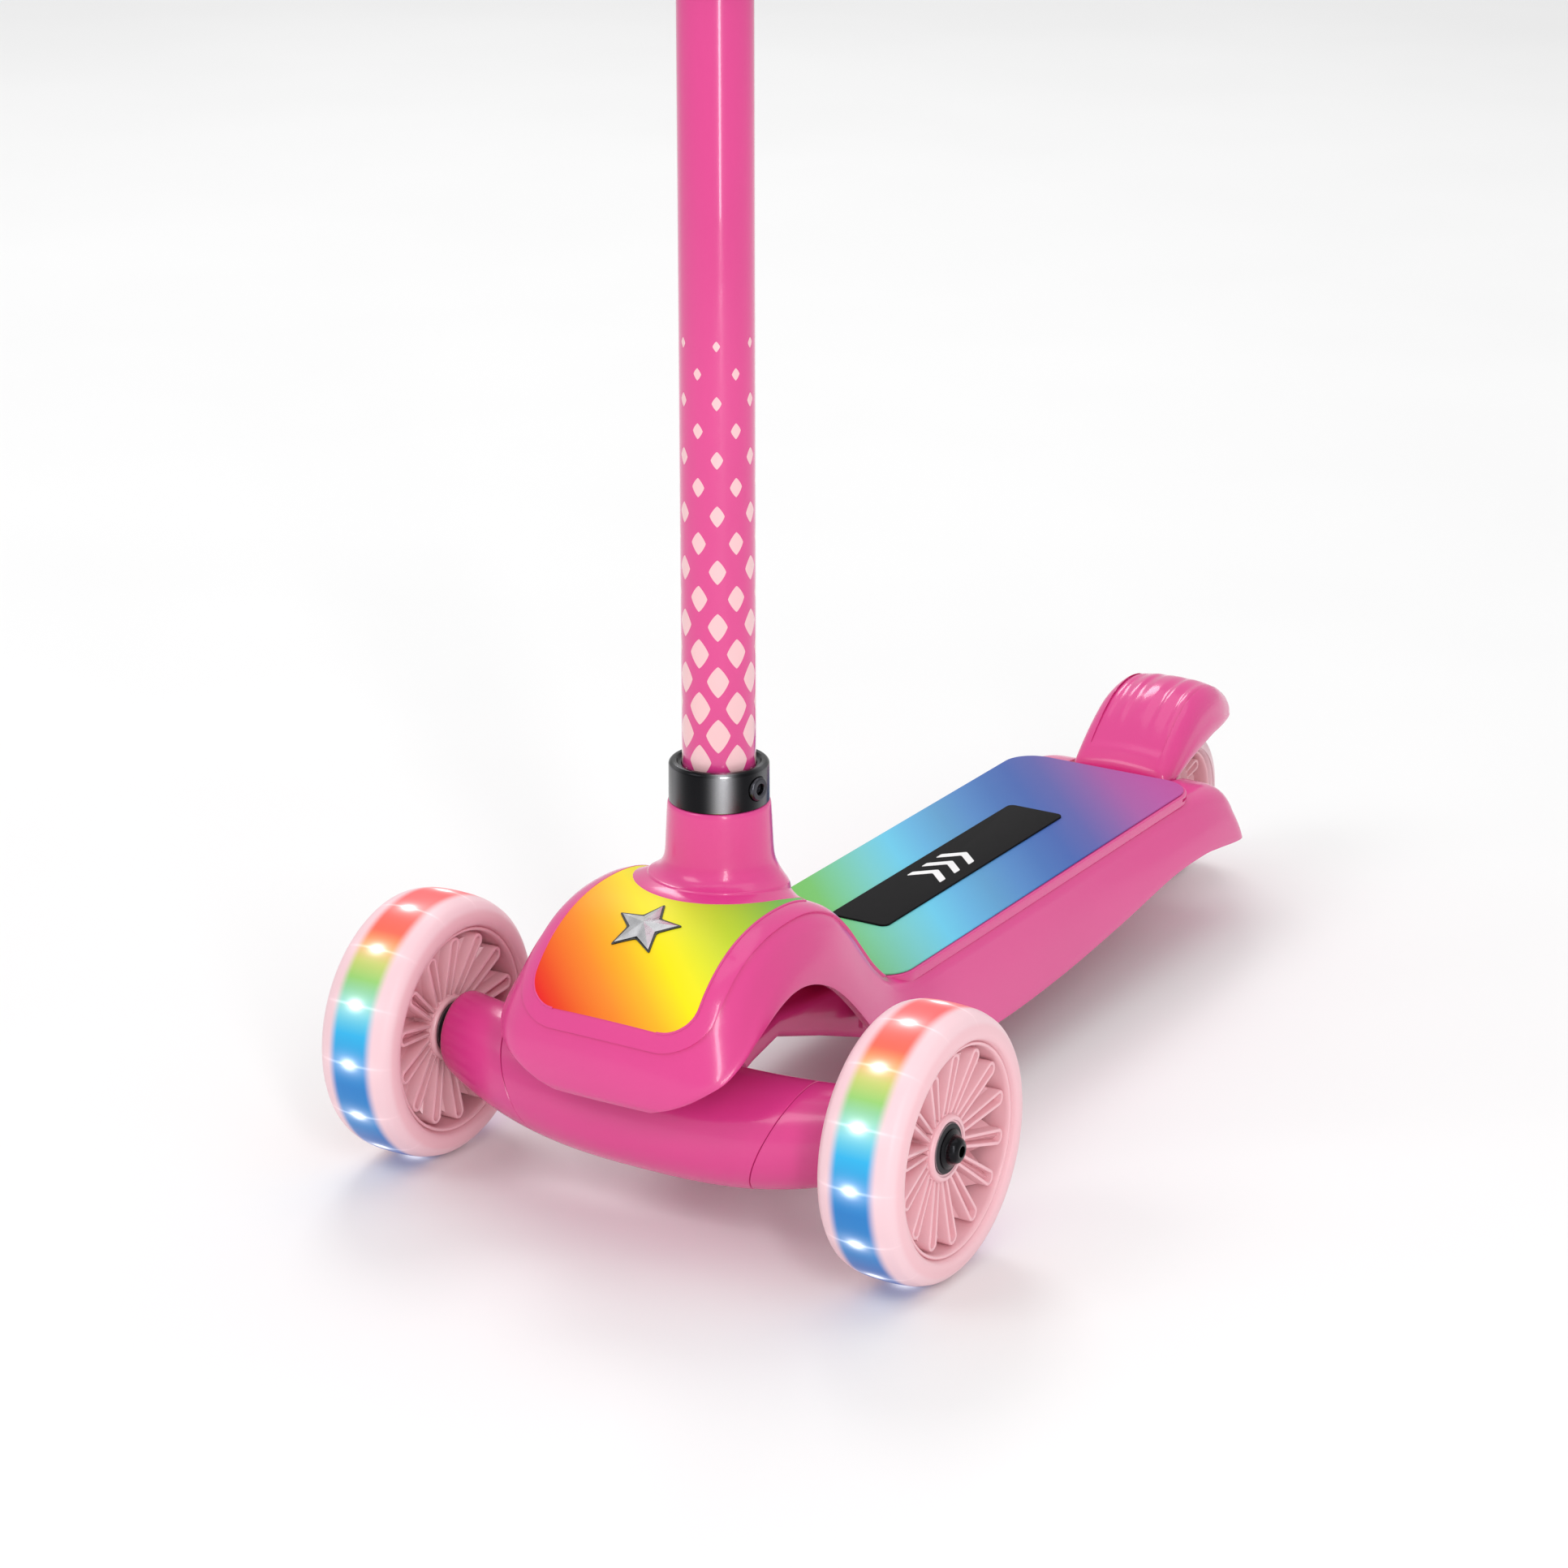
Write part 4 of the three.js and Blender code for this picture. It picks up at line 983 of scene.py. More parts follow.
class SCOOTER_OT_body(ScooterOperator):
    """Build the moulded body with its ribs, pivot housing and rear fork"""
    bl_idname = "scooter.body"
    bl_label = "Body"

    def build(self, context):
        sizes = self.sizes(context)
        pink = pink_plastic(context)
        wall = sizes.wall / MM
        shell = body_shell(pink, wall)
        pedal_low, pedal_high = local_box("brake_pedal")
        tyre_low, tyre_high = local_box("rear_tyre")
        bay = box_cutter((pedal_low.x - 1.6, pedal_low.y - 0.6, 56),
                         (pedal_high.x + 1.6, 500, 120), 4)
        slot = box_cutter((tyre_low.x - 4.5, tyre_low.y - 6.5, 0),
                          (tyre_high.x + 4.5, 520, 120), 3)
        stem = local_middle("lower_stem")
        bore = turned("cutter", [(0, 60), (16.4, 60), (16.4, 160), (0, 160)], (0, stem.y, 0),
                      UP, None)
        cut_away(shell, bay, slot, bore)
        bevelled(shell, 0.9, 2, 50)
        ready(shell, "deck", "pink_shell", "deck_shell", "nose_shell")
        self.plateau(sizes, pink)
        self.ribs(pink, wall)
        self.pivot_housing(pink, steel(context))
        self.fork(pink)

    def plateau(self, sizes, pink):
        """The raised bed under the grip sheet, with a slot at each rear corner."""
        low, high = local_box("deck_sheet")
        bed = rounded_rectangle(high.x + 1.4, low.y - 14, high.y + 1.4, 17, 10)
        top = low.z - 0.1
        piece = plate("deck_bed", bed, top - sizes.plateau / MM - 2, top, 0.7, pink)
        cutters = []
        for side in (-1, 1):
            x = side * (high.x + 1.0)
            cutters.append(box_cutter((x - 1.6, high.y - 16, top - 3.2),
                                      (x + 1.6, high.y - 9, top - 1.6), 0.5))
        cut_away(piece, *cutters)
        ready(piece, "deck", "pink_shell")

    def ribs(self, pink, wall):
        """A grid of ribs inside the deck."""
        count = 9
        front, rear = 138.0, 398.0
        roof = DECK_TOP - wall + 0.5
        cross = box_piece("cross_ribs", (-49, front - 1.2, 50), (49, front + 1.2, roof), 0.4, pink)
        pitch = (rear - front) / (count - 1)
        repeated(cross, count, step=(0, pitch * MM, 0))
        ready(cross, "deck", "pink_shell")
        long_ribs = box_piece("long_ribs", (-29.2, front - 20, 48), (-26.8, rear + 6, roof), 0.4,
                              pink)
        repeated(long_ribs, 3, step=(28 * MM, 0, 0))
        ready(long_ribs, "deck", "pink_shell")

    def pivot_housing(self, pink, metal):
        """The stem boss and the two ears that hold the kingpin."""
        pivot, axis = steering_axis()
        stem = local_middle("lower_stem")
        bm = bmesh.new()
        add_turned(bm, filleted([(16.4, 104), (21, 104), (21.6, 137), (16.4, 137)], 1.2, 3),
                   (0, stem.y, 0), UP, closed=True)
        add_turned(bm, filleted([(5.4, 20.7), (13, 20.7), (14, 58), (5.4, 58)], 1.0, 3),
                   pivot, axis, closed=True)
        add_turned(bm, filleted([(5.4, -32.6), (13, -32.6), (13, -20.7), (5.4, -20.7)], 1.0, 3),
                   pivot, axis, closed=True)
        screws = [local_middle(f"cover_screw_{word}") for word in ("left", "right")]
        screw_low, screw_high = local_box("cover_screw_left")
        seat = screw_low.z + 3.1
        for screw in screws:
            boss = filleted([(2.3, seat), (5.4, seat), (6.4, seat + 19), (2.3, seat + 19)], 0.5, 3)
            add_turned(bm, boss, (screw.x, screw.y, 0), UP, 40, closed=True)
        housing = new_piece("pivot_housing", bm, pink)
        ready(housing, "deck", "pink_shell")
        head = filleted([(0, screw_low.z + 1.8), (1.7, screw_low.z + 1.8), (1.7, screw_low.z),
                         (3.0, screw_low.z), (4.0, screw_low.z + 1.2), (4.0, screw_low.z + 3),
                         (2.0, screw_low.z + 3), (2.0, screw_high.z), (0, screw_high.z)],
                        [0, 0.1, 0.2, 0.4, 0.6, 0.2, 0.1, 0.3, 0], 3, False)
        for screw, word in zip(screws, ("left", "right")):
            ready(turned(f"cover_screw_{word}", head, (screw.x, screw.y, 0), UP, metal, 40),
                  "deck", "steel", f"cover_screw_{word}")
        arm = []
        for y, z, half, height in ((40, 49, 9.5, 5.5), (56, 55.5, 10, 6), (74, 61.5, 12, 6),
                                   (105, 57, 17, 11), (138, 52, 26, 17)):
            corners = [(-half, z - height), (half, z - height), (half, z + height),
                       (-half, z + height)]
            arm.append([(x, y, h) for x, h in filleted(corners, 4, 4)])
        ready(loft("pivot_arm", arm, pink), "deck", "pink_shell")

    def fork(self, pink):
        """The two plates that carry the rear axle."""
        axle = local_middle("rear_axle")
        inner = local_box("rear_tyre")[1].x + 4.5
        outer = inner + 7.5
        for side, word in SIDES:
            eye = [(axle.y + 12 * math.cos(a), axle.z + 11 * math.sin(a))
                   for a in [math.radians(-80 + 16 * i) for i in range(11)]]
            outline = [(426, 33), (axle.y - 22, 28.5), *eye, (axle.y - 20, 50), (426, 54)]
            lows = sorted((side * inner, side * outer))
            fork = plate(f"fork_{word}", outline, lows[0], lows[1], 1.0, pink,
                         put=sideways)
            ready(fork, "deck", "pink_shell")
        lugs = bmesh.new()
        pin = local_middle("brake_pin")
        for side in (-1, 1):
            low, high = sorted((side * 8, side * 15.5))
            add_turned(lugs, filleted([(3.3, low), (7, low), (7, high), (3.3, high)], 0.8, 3),
                       (0, pin.y, pin.z), ACROSS, closed=True)
            add_box(lugs, (low, pin.y - 6.5, 52), (high, pin.y + 6.5, pin.z - 3.4), 0.8)
        ready(new_piece("brake_lugs", lugs, pink), "deck", "pink_shell")


# ------------------------------------------------------------------ nose

# Colours of the two prints, by millimetres along them.
NOSE_PRINT_START = 17.0
NOSE_STOPS = [
    (-20, (222, 20, 44)), (-8, (232, 40, 39)), (2, (233, 73, 38)), (12, (237, 102, 41)),
    (30, (241, 137, 44)), (40, (243, 159, 40)), (50, (246, 179, 39)), (60, (247, 205, 35)),
    (70, (248, 227, 25)), (80, (238, 230, 40)), (90, (224, 226, 51)), (100, (209, 219, 59)),
    (110, (192, 213, 56)), (120, (178, 208, 60)), (150, (120, 190, 80)), (170, (100, 188, 96)),
]
DECK_STOPS = [
    (90, (140, 198, 66)), (120, (108, 188, 72)), (146, (107, 189, 95)), (170, (109, 195, 157)),
    (194, (108, 197, 199)), (218, (97, 196, 227)), (242, (90, 172, 217)),
    (266, (82, 150, 198)), (290, (72, 130, 192)), (314, (58, 108, 178)),
    (338, (56, 93, 170)), (362, (84, 90, 166)), (386, (126, 89, 163)), (410, (163, 84, 160)),
    (434, (178, 79, 159)), (470, (190, 72, 150)),
]


def ramp_stops(stops):
    """Stops of a colour ramp, and the values at its two ends."""
    low, high = stops[0][0], stops[-1][0]
    return [((at - low) / (high - low), colour(*rgb)) for at, rgb in stops], low, high


def printed_nose():
    """Glossy film printed from red through yellow to green, on the piece's UV map."""
    finish = Finish("printed_nose", specular_ior_level=0.1)
    u, v = finish.flat_place()
    stops, low, high = ramp_stops(NOSE_STOPS)
    value = (v / MM + u * 0.97 / MM - NOSE_PRINT_START - low) / (high - low)
    base = finish.ramp(value, stops)
    finish.bump(finish.noise(900.0, 2.0), 0.00004, 0.5)
    return finish.paint(base_color=base, roughness=0.4 + finish.noise(40.0) * 0.08)


def printed_deck():
    """Grip sheet: sanded grain under a print that runs from green to violet."""
    finish = Finish("printed_deck", specular_ior_level=0.3)
    x, y, _ = finish.place(place(0, 0, 0))
    stops, low, high = ramp_stops(DECK_STOPS)
    value = (y / MM + x * 1.09 / MM - low) / (high - low)
    base = finish.ramp(value, stops)
    grain = finish.noise(2200.0, 4.0, 0.65)
    speck = finish.step(0.62, 0.75, grain)
    shaded = finish.mix(speck * 0.1, base, (1, 1, 1, 1))
    finish.bump(grain, 0.0003, 0.35)
    return finish.paint(base_color=shaded, roughness=0.5 + grain * 0.12)


def star_outline(radius, inner, centre=(0, 0)):
    points = []
    for corner in range(10):
        size = radius * (inner if corner % 2 else 1.0)
        angle = math.pi / 2 + corner * math.pi / 5
        points.append((centre[0] + size * math.cos(angle), centre[1] + size * math.sin(angle)))
    return points


class SCOOTER_OT_nose(ScooterOperator):
    """Build the nose cover, its printed sheet and the badge"""
    bl_idname = "scooter.nose"
    bl_label = "Nose"

    SHEET_FRONT = 38.6  # distance from the lip along the outline
    SHEET_HALF = 40.6
    RIM = 8.5

    def build(self, context):
        sizes = self.sizes(context)
        pink = pink_plastic(context)
        lift = sizes.cover_lift / MM
        wrap = sizes.cover_wrap / MM
        stem = local_middle("lower_stem")
        front = self.SHEET_FRONT - self.RIM
        rear = skin.v_at(107, 60)
        half = self.SHEET_HALF + wrap
        cover = patch("nose_cover", front, rear, rounded_reach(front, rear, half, 24, 3),
                      lift, -2.0, pink, rows=110, columns=64)
        bevelled(cover, 0.6, 3, 45)
        ready(cover, "deck", "pink_shell", "nose_cover")
        back = skin.v_at(stem.y + 7, 60)
        reach = rounded_reach(self.SHEET_FRONT, back, self.SHEET_HALF, 15, 4)
        sheet = patch("nose_sheet", self.SHEET_FRONT, back, reach, lift + 0.35, lift - 0.5,
                      printed_nose(), rows=70, columns=48)
        ready(sheet, "deck", "nose_graphic", "nose_sheet")
        self.bead(pink, reach, back, lift)
        self.badge(lift)

    def bead(self, pink, reach, back, lift):
        """The thin raised edge that frames the printed sheet."""
        points = []
        steps = 60
        for side in (1, -1):
            for step in range(steps + 1):
                t = step / steps if side > 0 else 1 - step / steps
                v = self.SHEET_FRONT + (back - self.SHEET_FRONT) * (1 - math.cos(math.pi / 2 * t))
                points.append(skin.lifted(v, side * (reach(v) + 0.45), lift + 0.05))
        points.reverse()
        bm = bmesh.new()
        add_path_tube(bm, [tuple(p) for p in points], 0.55, 8)
        ready(new_piece("sheet_bead", bm, pink), "deck", "pink_shell")

    def badge(self, lift):
        """A faceted silver star with a black edge."""
        centre_v = 84.0

        def put(u, v, height):
            p = skin.lifted(centre_v + v, u, lift + 0.35 + height)
            return place(p.x, p.y, p.z)

        outline = filleted(star_outline(16.5, 0.47), 1.2, 3)
        edge = Finish("badge_edge", roughness=0.35)
        edge.bump(edge.noise(1500.0), 0.00005, 0.4)
        edge.paint(base_color=edge.mix(edge.noise(80.0), colour(10, 10, 12), colour(26, 26, 28)))
        bm = bmesh.new()
        rings = [[(u, v, h) for u, v in outline] for h in (-0.3, 0.55)]
        add_loft(bm, rings, put=put)
        ready(new_piece("badge_edge", bm, edge.material), "deck", "badge_metal")
        silver = Finish("badge_silver", metallic=1.0)
        streak = silver.noise(240.0, 3.0, 0.6, stretch=(1, 0.2, 1))
        silver.paint(base_color=silver.mix(streak, colour(168, 168, 172), colour(238, 238, 240)),
                     roughness=0.2 + streak * 0.15)
        silver.bump(streak, 0.00003, 0.5)
        bm = bmesh.new()
        star = star_outline(14.6, 0.45)
        low = [bm.verts.new(put(u, v, 0.5)) for u, v in star]
        base = [bm.verts.new(put(u, v, 0.8)) for u, v in star]
        tip = bm.verts.new(put(0, 0, 3.0))
        bm.faces.new(low)
        for i in range(10):
            j = (i + 1) % 10
            bm.faces.new((low[i], low[j], base[j], base[i]))
            bm.faces.new((base[i], base[j], tip))
        piece = new_piece("badge_star", bm, silver.material, sharp=math.radians(8))
        ready(piece, "deck", "badge_metal", "nose_badge")


# ------------------------------------------------------------------ deck top

class SCOOTER_OT_deck_top(ScooterOperator):
    """Build the printed grip sheet and the black anti-slip panel"""
    bl_idname = "scooter.deck_top"
    bl_label = "Deck top"

    def build(self, context):
        low, high = local_box("deck_sheet")
        outline = rounded_rectangle(high.x, low.y - 13, high.y, 16, 12)
        sheet = plate("deck_sheet", outline, low.z, high.z, 0.35, printed_deck())
        ready(sheet, "deck", "deck_graphic", "deck_sheet")
        self.panel(context, high.z)

    def panel(self, context, sheet_top):
        low, high = local_box("deck_panel")
        outline = rounded_rectangle(high.x, low.y, high.y, 3.5, 6)
        black = shade_of(tuple(self.colours(context).black), 0.7)
        rubber = satin_plastic("panel_rubber", black, 0.7, shine=0.12)
        panel = plate("deck_panel", outline, sheet_top - 0.1, high.z - 0.1, 0.3, rubber)
        ready(panel, "deck", "black_panel", "deck_panel")
        white = satin_plastic("panel_print", colour(240, 240, 240), 0.5)
        middle = (low.y + high.y) / 2
        bm = bmesh.new()
        chevron = [(-9, -4), (0, 5), (9, -4), (9, 1.5), (0, 10.5), (-9, 1.5)]
        top = high.z - 0.1
        outline = [(u, v + middle - 22) for u, v in filleted(chevron, 0.8, 2)]
        add_loft(bm, [[(u, v, h) for u, v in outline] for h in (top - 0.1, top + 0.12)],
                 put=place)
        print_piece = new_piece("panel_print", bm, white)
        repeated(print_piece, 3, step=(0, 14 * MM, 0))
        ready(print_piece, "deck", "black_panel")


# ------------------------------------------------------------------ neck and stem

class SCOOTER_OT_neck(ScooterOperator):
    """Build the neck, the clamp ring and its bolt"""
    bl_idname = "scooter.neck"
    bl_label = "Neck"

    # (radius, height, share of the body's own height under it)
    PROFILE = [
        (16.5, 30.0, 0.0), (16.5, 38.2, 0.0), (20.9, 38.2, 0.0), (22.3, 37.4, 0.0),
        (22.7, 34.0, 0.0), (23.2, 24.0, 0.0), (23.7, 15.0, 0.0), (24.7, 10.6, 0.1),
        (26.9, 7.2, 0.25), (30.0, 5.1, 0.5), (30.9, 4.6, 0.6), (31.3, 3.9, 0.7),
        (31.6, 3.4, 0.8), (33.0, 2.9, 0.9), (35.5, 2.1, 1.0), (38.2, 1.3, 1.0),
        (38.8, 0.6, 1.0), (38.6, -2.0, 1.0), (30.0, -3.0, 1.0), (16.5, -3.0, 1.0),
    ]
    BASE = 138.0

    def build(self, context):
        pink = pink_plastic(context)
        stem = local_middle("lower_stem")
        ring_low, ring_high = local_box("clamp_ring")
        profile = smooth_rows(self.PROFILE, 3)
        steps = 96
        rings = []
        for step in range(steps):
            angle = 2 * math.pi * step / steps
            ring = []
            for radius, height, share in profile:
                # the skirt is longer towards the front than towards the rear
                back = max(math.sin(angle), 0.0)
                pull = max(radius - 30.0, 0.0) * 0.5 * back
                x = (radius - pull) * math.cos(angle)
                y = stem.y + (radius - pull) * math.sin(angle)
                roof = skin.roof(x, y)
                z = height + share * roof + (1 - share) * self.BASE
                ring.append((x, y, z))
            rings.append(ring)
        neck = loft("neck", rings, pink, loop=True)
        ready(neck, "deck", "pink_shell", "neck_sleeve")
        self.clamp(context, stem, ring_low, ring_high)

    def clamp(self, context, stem, low, high):
        radius = high.x
        profile = filleted([
            (16.35, low.z), (radius + 0.1, low.z), (radius, high.z - 1.2), (radius - 1.2, high.z),
            (18.6, high.z), (17.6, high.z - 1.6), (16.35, high.z - 1.6),
        ], [0.2, 0.5, 0.7, 0.7, 0.4, 0.5, 0.2], 3)
        # the ring's highlight and reflections are painted into its base colour
        ring_highlight_finish = polished_ring(tuple(self.colours(context).graphite), (0, stem.y))
        ring = turned("clamp_ring", profile, (0, stem.y, 0), UP, ring_highlight_finish, 96, True)
        bolt = local_middle("clamp_bolt")
        centre = (0, stem.y, bolt.z)
        turn = math.radians(8)
        outwards = (math.cos(turn), -math.sin(turn), 0)
        seat = turned("cutter", rod_profile(5.6, 18.9, 40), centre, outwards, None, 48)
        cut_away(ring, seat)
        ready(ring, "deck", "graphite_metal", "clamp_ring")
        head = filleted([(0, 19.1), (5.3, 19.1), (5.3, 22.4), (4.5, 23.2), (2.7, 23.2),
                         (2.4, 22.8), (2.4, 20.8), (0, 20.8)],
                        [0, 0.3, 0.5, 0.4, 0.2, 0.2, 0.2, 0], 3, False)
        plated = black_chrome("bolt_chrome", shade_of(tuple(self.colours(context).graphite), 5))
        ready(turned("clamp_bolt", head, centre, outwards, plated, 48), "deck",
              "graphite_metal", "clamp_bolt")


def diamond_paint(colours, columns, axis_xy):
    """Gloss pink paint with rows of rounded diamonds that shrink up the tube."""
    pink, pale = tuple(colours.pink), tuple(colours.diamond)
    finish = Finish("diamond_paint", coat_weight=0.6, coat_roughness=0.04)
    x, y, z = finish.place(place(axis_xy[0], axis_xy[1], 0))
    first_row, last_row, pitch = 209.8, 384.0, 24.3
    first_column = 1.04
    turn = finish.maths("ARCTAN2", x, -y) * (columns / (2 * math.pi)) - first_column
    height = z / MM
    size = finish.maths("SUBTRACT", 1.0, (height - first_row) / 240.0, clamp=True)
    half_width = size * (5.3 / (2 * math.pi * 16.0 / columns)) + 0.0001
    half_height = size * (7.7 / pitch) + 0.0001

    def lattice(offset):
        """Every other column, with its rows moved by half a row for the odd ones."""
        column = (turn - offset) * 0.5
        row = (height - first_row) / pitch + offset * 0.5
        across = abs(column - finish.maths("ROUND", column)) * 2
        up = abs(row - finish.maths("ROUND", row))
        shape = (across / half_width) ** 1.25 + (up / half_height) ** 1.25
        return 1 - finish.step(0.95, 1.03, shape)

    printed = finish.maths("MAXIMUM", lattice(0), lattice(1))
    shown = printed * (1 - finish.step(last_row, last_row + 2, height))
    cloud = finish.noise(12.0)
    ground = finish.mix(cloud, shade_of(pink, 0.95), shade_of(pink, 1.05))
    base = finish.mix(shown, ground, pale)
    finish.bump(finish.noise(1200.0, 2.0), 0.00003, 0.5)
    return finish.paint(base_color=base, roughness=0.2 + cloud * 0.06 + shown * 0.1)


class SCOOTER_OT_stem(ScooterOperator):
    """Build the painted stem, its bush and the height collar with its lever"""
    bl_idname = "scooter.stem"
    bl_label = "Stem"

    def build(self, context):
        black = black_plastic(context)
        metal = steel(context)
        low, high = local_box("lower_stem")
        centre = (0, (low.y + high.y) / 2, 0)
        painted = diamond_paint(self.colours(context), self.sizes(context).diamond_columns,
                                (0, centre[1]))
        stem = turned("lower_stem", tube_profile(16.0, 14.4, low.z, high.z), centre, UP,
                      painted, 96, True)
        ready(stem, "deck", "pink_paint", "lower_stem")
        bush_low, bush_high = local_box("stem_bush")
        bush = filleted([(12.85, bush_low.z), (14.1, bush_low.z), (14.1, high.z + 0.2),
                         (16.0, high.z + 0.3), (16.0, bush_high.z - 1), (15.0, bush_high.z),
                         (12.85, bush_high.z)], 0.3, 3)
        ready(turned("stem_bush", bush, centre, UP, black, 72, True), "deck", "black_plastic",
              "stem_bush")
        self.collar(centre, black, metal)

    def collar(self, centre, black, metal):
        low, high = local_box("height_collar")
        skewer_low, skewer_high = local_box("collar_skewer")
        ear = 8.5
        ring = filleted([(16.3, low.z), (21.2, low.z), (21.8, low.z + 2), (21.8, high.z - 2),
                         (21.2, high.z), (16.3, high.z)], 0.6, 3)
        body = turned("height_collar", ring, centre, UP, black, 96, True)
        ears = rounded_rectangle(ear, centre[1] + 17.5, high.y, 3.2, 5)
        ear_piece = plate("collar_ears", ears, low.z + 3.5, high.z - 3.5, 1.2, black)
        for part in (body, ear_piece):
            cut_away(part, box_cutter((-1.5, centre[1] + 10, 0), (1.5, 120, 900), 0.3))
        cut_away(ear_piece, turned("cutter", rod_profile(15.9, 400, 700), centre, UP, None))
        ready(body, "deck", "black_plastic", "height_collar")
        ready(ear_piece, "deck", "black_plastic")
        middle = (skewer_low + skewer_high) / 2
        y, z = 71.0, middle.z
        lever_x = 15.8
        bm = bmesh.new()
        add_turned(bm, rod_profile(2.5, skewer_low.x, lever_x), (0, y, z), ACROSS, 24)
        add_turned(bm, rod_profile(3.5, -7, 7), (lever_x, y, z), UP, 32)
        ready(new_piece("collar_skewer", bm, metal), "deck", "steel", "collar_skewer")
        nut = plate("collar_nut", hexagon(5.5, math.pi / 6, 0.5), -ear - 4.8, -ear - 0.3, 0.5,
                    metal, put=lambda u, v, h: place(h, y + u, z + v))
        ready(nut, "deck", "steel", "collar_nut")
        self.lever(black, lever_x, y, z, centre[1])

    def lever(self, black, x, y, z, stem_y):
        """The cam lever: a fork round the barrel and a blade that hugs the collar."""
        blade = [(x - 3, y + 3), (x + 6, y), (27.7, stem_y + 12), (26.7, stem_y),
                 (24.7, stem_y - 26), (21.7, stem_y - 26), (22.7, stem_y), (23.1, stem_y + 5),
                 (12.5, y - 6)]
        blade = filleted(blade, 2.2, 4)
        if sum(a[0] * b[1] - b[0] * a[1] for a, b in zip(blade, blade[1:] + blade[:1])) < 0:
            blade.reverse()
        piece = plate("collar_lever", blade, z - 7, z + 7, 1.0, black)
        fork = box_cutter((x - 16, y - 8.5, z - 3.2), (x + 9, y + 16, z + 3.2), 0.4)
        cut_away(piece, fork)
        bm = bmesh.new()
        for low, high in ((-7, -3.3), (3.3, 7)):
            add_turned(bm, filleted([(3.6, low), (7, low), (7, high), (3.6, high)], 0.6, 3),
                       (x, y, z), UP, 40, True)
        eyes = new_piece("lever_eyes", bm, black)
        ready(piece, "lever", "black_plastic", "collar_lever")
        ready(eyes, "lever", "black_plastic")


# ------------------------------------------------------------------ handlebar

